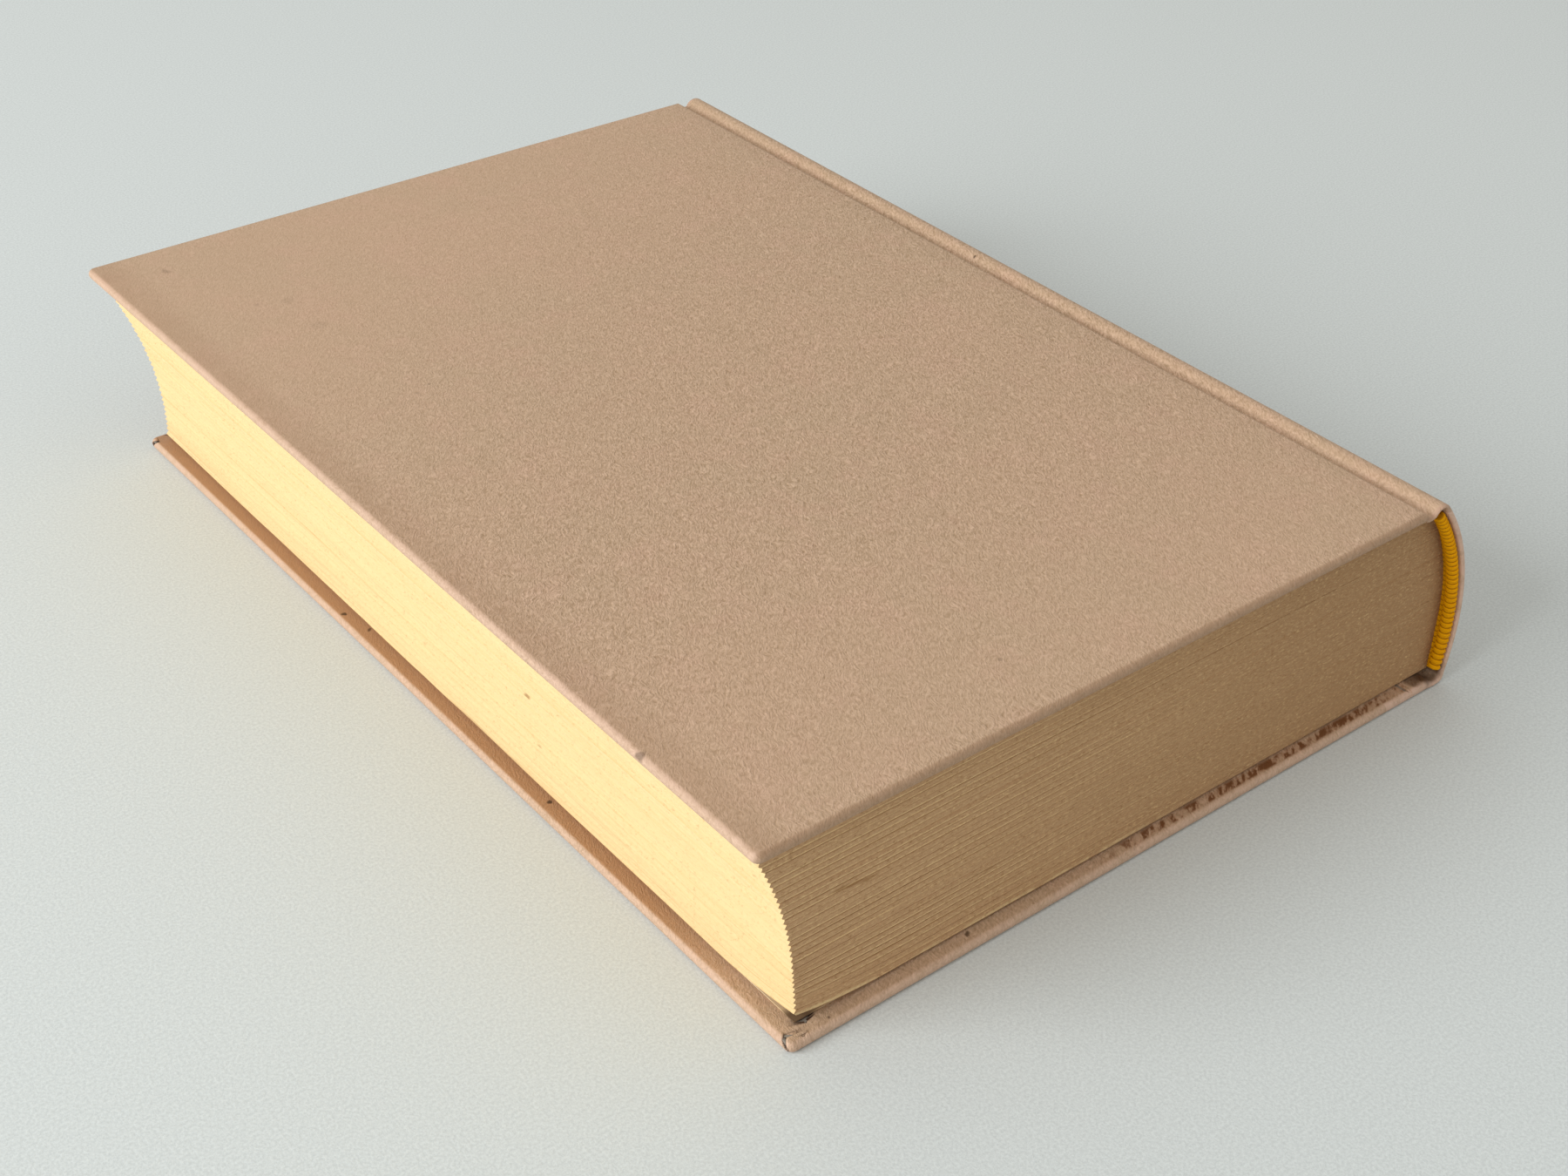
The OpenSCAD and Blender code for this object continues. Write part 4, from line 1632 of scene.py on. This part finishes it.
@dataclass
class Pages:
    """The block of leaves, and the two flyleaves along it."""

    sizes: BookSizes
    palette: Palette
    body: str = "text_block"
    rows_in_section: int = 12
    fore_columns: int = 70
    end_columns: int = 64
    back_columns: int = 12
    half_x: float = 70.0
    leaf_columns: int = 59
    leaf_rows: int = 29
    tooth: float = 0.5
    jitter: float = 0.05
    drift_shape: Point3 = (11.0, 11.0, 1 / 1.9)
    slack_shape: Point3 = (40.0, 40.0, 4.0)
    patch_shape: Point3 = (30.0, 1 / 3.0, 1.2)
    wave_shape: Point3 = (22.0, 30.0, 6.0)
    wave: Point2 = (0.08, 0.26)
    fold_gap: Point2 = (0.07, 0.36)
    looseness: Point2 = (0.15, 1.3)
    fore_reach: float = 90.0
    spread_share: float = 0.22
    curl: float = 1.9
    curl_reach: float = 9.0
    curl_rise: float = 10.0
    spread: float = 0.6
    short_x: float = 3.4
    short_y: float = 0.6
    short_from: float = -40.0
    short_run: float = 29.0
    leaf_wave: float = 26.0
    seed: int = 7

    def _curl(self, x: np.ndarray, y: np.ndarray, above: np.ndarray) -> np.ndarray:
        """How far the lowest leaves curl up at their fore corner at the head.

        Args:
            x: X of each place.
            y: Y of each place.
            above: Height of each place above the lowest leaf.

        Returns:
            The lift of each place.
        """
        s = self.sizes
        from_fore = x - float(s.fore_x(s.pages_bottom))
        from_end = y + s.cover_h / 2 - s.square_w
        reach = np.clip(1 - (from_fore + from_end) / (2 * self.curl_reach), 0, 1)
        return self.curl * reach**2 * np.clip(1 - above / self.curl_rise, 0, 1)

    def build(self) -> None:
        """Builds the block and its flyleaves."""
        self._block()
        for side in Side:
            self._flyleaf(side)

    def _block(self) -> None:
        """The block: a ring of thin rows, drawn in and out as the leaves are."""
        s = self.sizes
        y1 = s.cover_h / 2 - s.square_w
        z0, z1 = s.pages_bottom, s.pages_bottom + s.pages_t
        x0, x1 = -self.half_x, self.half_x
        obj = Bench.block("page_block", (x0, -y1, z0), (x1, y1, z1))
        Bench.open(obj)
        Bench.pick(obj, "FACE", lambda p, d: abs(d.z) > 0.9)
        bpy.ops.mesh.delete(type="ONLY_FACE")
        for cuts in (s.sections - 1, self.rows_in_section - 1):
            Bench.pick(obj, "EDGE", lambda p, d: abs(d.z) > 0.9)
            bpy.ops.mesh.subdivide(number_cuts=cuts)
        for test, cuts in (
            (lambda p, d: abs(d.y) > 0.9 and abs(p.x - x0) < NEAR, self.fore_columns - 1),
            (lambda p, d: abs(d.y) > 0.9 and abs(p.x - x1) < NEAR, self.back_columns - 1),
            (lambda p, d: abs(d.x) > 0.9, self.end_columns - 1),
        ):
            Bench.pick(obj, "EDGE", test)
            bpy.ops.mesh.subdivide(number_cuts=cuts)
        for level in (z0, z1):
            Bench.pick(obj, "EDGE", lambda p, d, at=level: abs(p.z - at) < NEAR)
            bpy.ops.mesh.edge_face_add()
        bpy.ops.mesh.select_all(action="SELECT")
        bpy.ops.mesh.normals_make_consistent(inside=False)
        Bench.close()
        self._shape_leaves(obj)
        Bench.smooth(obj, 20.0)
        dress(obj, self.palette.pages, self.body, "text_block")

    def _shape_leaves(self, obj: Piece) -> None:
        """Moves the rows to the block's section and draws each leaf in or out.

        Args:
            obj: The block, still a cuboid.
        """
        s = self.sizes
        rng = np.random.default_rng(self.seed)
        plain = Bench.places(obj)
        above = plain[:, 2] - s.pages_bottom
        height = above / s.pages_t
        count = s.sections * self.rows_in_section
        rows = np.rint(height * count).astype(int)
        share = (plain[:, 0] + self.half_x) / (2 * self.half_x)
        at_fore = share < 1e-4
        at_end = np.abs(plain[:, 1]) > s.cover_h / 2 - s.square_w - NEAR
        z = plain[:, 2]
        fore = np.asarray(s.fore_x(z))
        back = np.asarray(s.back_x(z, s.block_d))
        x = fore + share * (back - fore)
        phase = (rows % self.rows_in_section) / self.rows_in_section
        fold = phase == 0
        step = self.tooth * np.abs(2 * phase - 1)
        jitter = np.abs(rng.normal(0, self.jitter, count + 1))[rows]
        drift = wander(plain / self.drift_shape, 3.0)
        slack = wander(plain / self.slack_shape, 8.0)
        x = x + np.where(at_fore, step + jitter + np.abs(drift) * 0.10, 0.0)
        near_fore = np.clip(1 - (x - fore) / self.fore_reach, 0, 1)
        end_y = np.sign(plain[:, 1])
        loose = rng.uniform(*self.looseness, s.sections + 1)[rows // self.rows_in_section]
        patches = wander(np.column_stack([x, end_y, z]) / self.patch_shape, 5.0)
        loose = loose * np.clip(0.6 + 1.3 * patches, 0, 2)
        least, more = self.fold_gap
        gap = np.where(fold, (least + more * (1 - height) ** 1.5 * near_fore) * loose, 0.0)
        depth = np.where(at_end, gap + jitter * 0.7 + np.abs(drift) * 0.08 + np.abs(slack) * 0.08
                         - self.spread * np.clip(1 - height / self.spread_share, 0, 1) ** 1.5, 0.0)
        y = plain[:, 1] - end_y * depth
        inside = np.clip(height / 0.03, 0, 1) * np.clip((1 - height) / 0.1, 0, 1)
        least, more = self.wave
        wave = wander(np.column_stack([x, y, z]) / self.wave_shape, 11.0)
        z = z + wave * inside * (least + more * (1 - height) ** 2 * near_fore)
        z = z + self._curl(x, y, above)
        Bench.mark(obj, "leaf_place", np.column_stack([x, plain[:, 1:]]), "FLOAT_VECTOR")
        cut = [all(at_end[list(face.vertices)]) for face in obj.data.polygons]
        Bench.mark(obj, "cut_end", cut, domain="FACE")
        Bench.put(obj, np.column_stack([x, y, z]))

    def _flyleaf(self, side: Side) -> None:
        """A flyleaf: a thin sheet that lies slightly wavy along the block.

        Args:
            side: Side of the book on which it lies.
        """
        s = self.sizes
        low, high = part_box(f"{side.value}_flyleaf")
        corners = [[c / MM for c in corner] for corner in (low, high)]
        obj = Bench.block(f"{side.value}_free_endpaper", *corners)
        Bench.open(obj)
        for axis, cells in enumerate((self.leaf_columns, self.leaf_rows)):
            Bench.slice(obj, axis, np.linspace(corners[0][axis], corners[1][axis], cells + 1)[1:-1])
        Bench.close()
        places = Bench.places(obj)
        places[:, 2] += wander(places * [1.0, 1.0, 0.0] / self.leaf_wave, 5.0) * s.glue
        if side is Side.BACK:
            places[:, 2] += self._curl(places[:, 0], places[:, 1], np.zeros(len(places)))
            places[:, 1] *= 1 - self.short_y / corners[1][1]
            places[:, 0] += self.short_x * np.clip((self.short_from - places[:, 0]) / self.short_run, 0, 1)
        Bench.put(obj, places)
        Bench.smooth(obj)
        dress(obj, self.palette.endpaper, self.body, f"{side.value}_flyleaf")


@dataclass
class HeadBand:
    """A bead of wound thread on its tape, along one end of the rounded back."""

    end: End
    sizes: BookSizes
    palette: Palette
    body: str = "text_block"
    rib_share: float = 0.57
    cord_share: float = 0.74
    flat_share: float = 0.86
    sweep_steps: int = 40
    band_start: float = 20.5

    def build(self) -> None:
        """Builds the band's ribs, cord and tape."""
        s = self.sizes
        radius = s.spine_r - s.block_d - s.bead_inset
        low, high = s.ridge_angle(Side.BACK), s.ridge_angle(Side.FRONT)
        turn = s.rib_pitch / radius
        ribs = math.floor((high - low) / turn)
        first = low + (high - low - (ribs - 1) * turn) / 2
        band_y = self.end.value * (s.cover_h / 2 - s.bead_y)
        rib = self._rib()
        pieces = []
        for i in range(ribs):
            angle = first + i * turn
            copy = rib.copy()
            copy.data = rib.data.copy()
            bpy.context.collection.objects.link(copy)
            x, z = s.on_arc(radius, angle)
            copy.data.transform(Matrix.Translation(Vector((x, band_y, z)) * MM)
                                @ Matrix.Rotation(-angle, 4, "Y"))
            pieces.append(copy)
        bpy.data.objects.remove(rib)
        pieces.append(self._cord(radius, band_y, first, (ribs - 1) * turn))
        pieces.append(self._tape(low, high))
        name = f"{self.end.name.lower()}_band"
        obj = Bench.join(f"{name}_thread", pieces)
        flat, _, _ = around(Bench.places(obj), s.back_c)
        angles = np.arctan2(flat[:, 1], flat[:, 0])
        Bench.mark(obj, "along_band", (angles - first) * radius + s.rib_pitch * self.band_start)
        Bench.smooth(obj, 60.0)
        dress(obj, self.palette.thread, self.body, name)

    def _rib(self) -> Piece:
        """One rib of wound thread, its turns round the Z axis.

        Returns:
            The rib, at the origin.
        """
        s = self.sizes
        scale = (self.flat_share, 1.0, self.rib_share * s.rib_pitch / s.bead_r)
        return Bench.start("thread_rib", bpy.ops.mesh.primitive_uv_sphere_add, scale, segments=20,
                           ring_count=10, radius=s.bead_r * MM)

    def _cord(self, radius: float, y: float, start: float, angle: float) -> Piece:
        """The cord inside the thread, seen between the ribs.

        Args:
            radius: Radius of the arc that it follows.
            y: Its place along the book.
            start: Direction of its lower end.
            angle: Angle that it spans.

        Returns:
            The cord.
        """
        s = self.sizes
        x, z = s.on_arc(radius, start)
        obj = Bench.start("band_cord", bpy.ops.mesh.primitive_circle_add, vertices=16,
                          radius=s.bead_r * self.cord_share * MM, fill_type="NOTHING",
                          location=(x * MM, y * MM, z * MM), rotation=(0, -start, 0))
        return self._swept(obj, angle)

    def _swept(self, obj: Piece, angle: float) -> Piece:
        """Spins a section round the back of the pages.

        Args:
            obj: The section.
            angle: Angle that it sweeps.

        Returns:
            The same object, swept.
        """
        Bench.open(obj)
        bpy.ops.mesh.select_all(action="SELECT")
        Bench.spin(self.sizes.back_c, angle, self.sweep_steps)
        Bench.close()
        Bench.outward(obj)
        return obj

    def _tape(self, low: float, high: float) -> Piece:
        """The tape that holds the bead on the back of the pages.

        Args:
            low: Direction of its lower end from the back's centre.
            high: Direction of its upper end.

        Returns:
            The tape.
        """
        s = self.sizes
        inner = s.cover_h / 2 - s.square_w - s.tape_w
        outer = s.cover_h / 2 - s.bead_y
        y0, y1 = sorted((self.end.value * inner, self.end.value * outer))
        x, z = s.on_arc(s.spine_r - s.mull_d - s.mull_t / 2, high)
        obj = Bench.start("band_tape", bpy.ops.mesh.primitive_plane_add,
                          (s.mull_t * MM, (y1 - y0) * MM, 1.0), size=1, rotation=(0, -high, 0),
                          location=(x * MM, (y0 + y1) / 2 * MM, z * MM))
        return self._swept(obj, low - high)


@dataclass
class Studio:
    """Table, lamps, pale surroundings and the camera."""

    camera_at: Point3 = (-216.94, -276.90, 240.69)
    camera_turn: Point3 = (54.954, -1.418, -38.404)
    lens_mm: float = 51.07
    sensor_mm: float = 36.0
    table_size: float = 12.0
    world_light: float = 0.63
    world_colour: Rgb = (1.0, 0.985, 0.955)
    window_at: Point3 = (-1.45, 0.24, 0.75)
    window_size: Point2 = (1.3, 0.9)
    window_power: float = 24.0
    window_colour: Rgb = (0.97, 1.0, 1.03)
    finish: TableFinish = field(default_factory=TableFinish)

    def build(self) -> None:
        """Sets up everything round the book."""
        self._table()
        self._window()
        self._world()
        self._camera()
        bpy.context.scene.view_settings.view_transform = "Standard"

    def _table(self) -> None:
        """The table top under the book."""
        table = Bench.start("table_top", bpy.ops.mesh.primitive_plane_add, size=self.table_size)
        table.data.materials.append(self.finish.material())

    def _window(self) -> None:
        """A soft window light from the far left."""
        lamp = bpy.data.lights.new("window", "AREA")
        lamp.shape = "RECTANGLE"
        lamp.size, lamp.size_y = self.window_size
        lamp.energy = self.window_power
        lamp.color = self.window_colour
        obj = bpy.data.objects.new("window", lamp)
        obj.location = self.window_at
        obj.rotation_euler = (-Vector(self.window_at)).to_track_quat("-Z", "Y").to_euler()
        bpy.context.scene.collection.objects.link(obj)

    def _world(self) -> None:
        """Even pale light from all round."""
        world = bpy.data.worlds.new("room")
        world.use_nodes = True
        background = world.node_tree.nodes["Background"]
        background.inputs["Color"].default_value = (*self.world_colour, 1.0)
        background.inputs["Strength"].default_value = self.world_light
        bpy.context.scene.world = world

    def _camera(self) -> None:
        """The camera at the photograph's viewing angle."""
        camera = bpy.data.cameras.new("photo_view")
        camera.sensor_width = self.sensor_mm
        camera.lens = self.lens_mm
        camera.clip_start = 0.01
        obj = bpy.data.objects.new("photo_view", camera)
        obj.location = [c * MM for c in self.camera_at]
        obj.rotation_euler = [math.radians(a) for a in self.camera_turn]
        bpy.context.scene.collection.objects.link(obj)
        bpy.context.scene.camera = obj


def main() -> None:
    """Builds the book and its surroundings."""
    logging.basicConfig(level=logging.INFO, format="%(name)s: %(message)s")
    sizes = BookSizes()
    palette = Palette.mixed()
    Studio().build()
    for side in Side:
        Cover(side, sizes, palette).build()
    Spine(sizes, palette).build()
    Pages(sizes, palette).build()
    for end in End:
        HeadBand(end, sizes, palette).build()


if __name__ == "__main__":
    main()
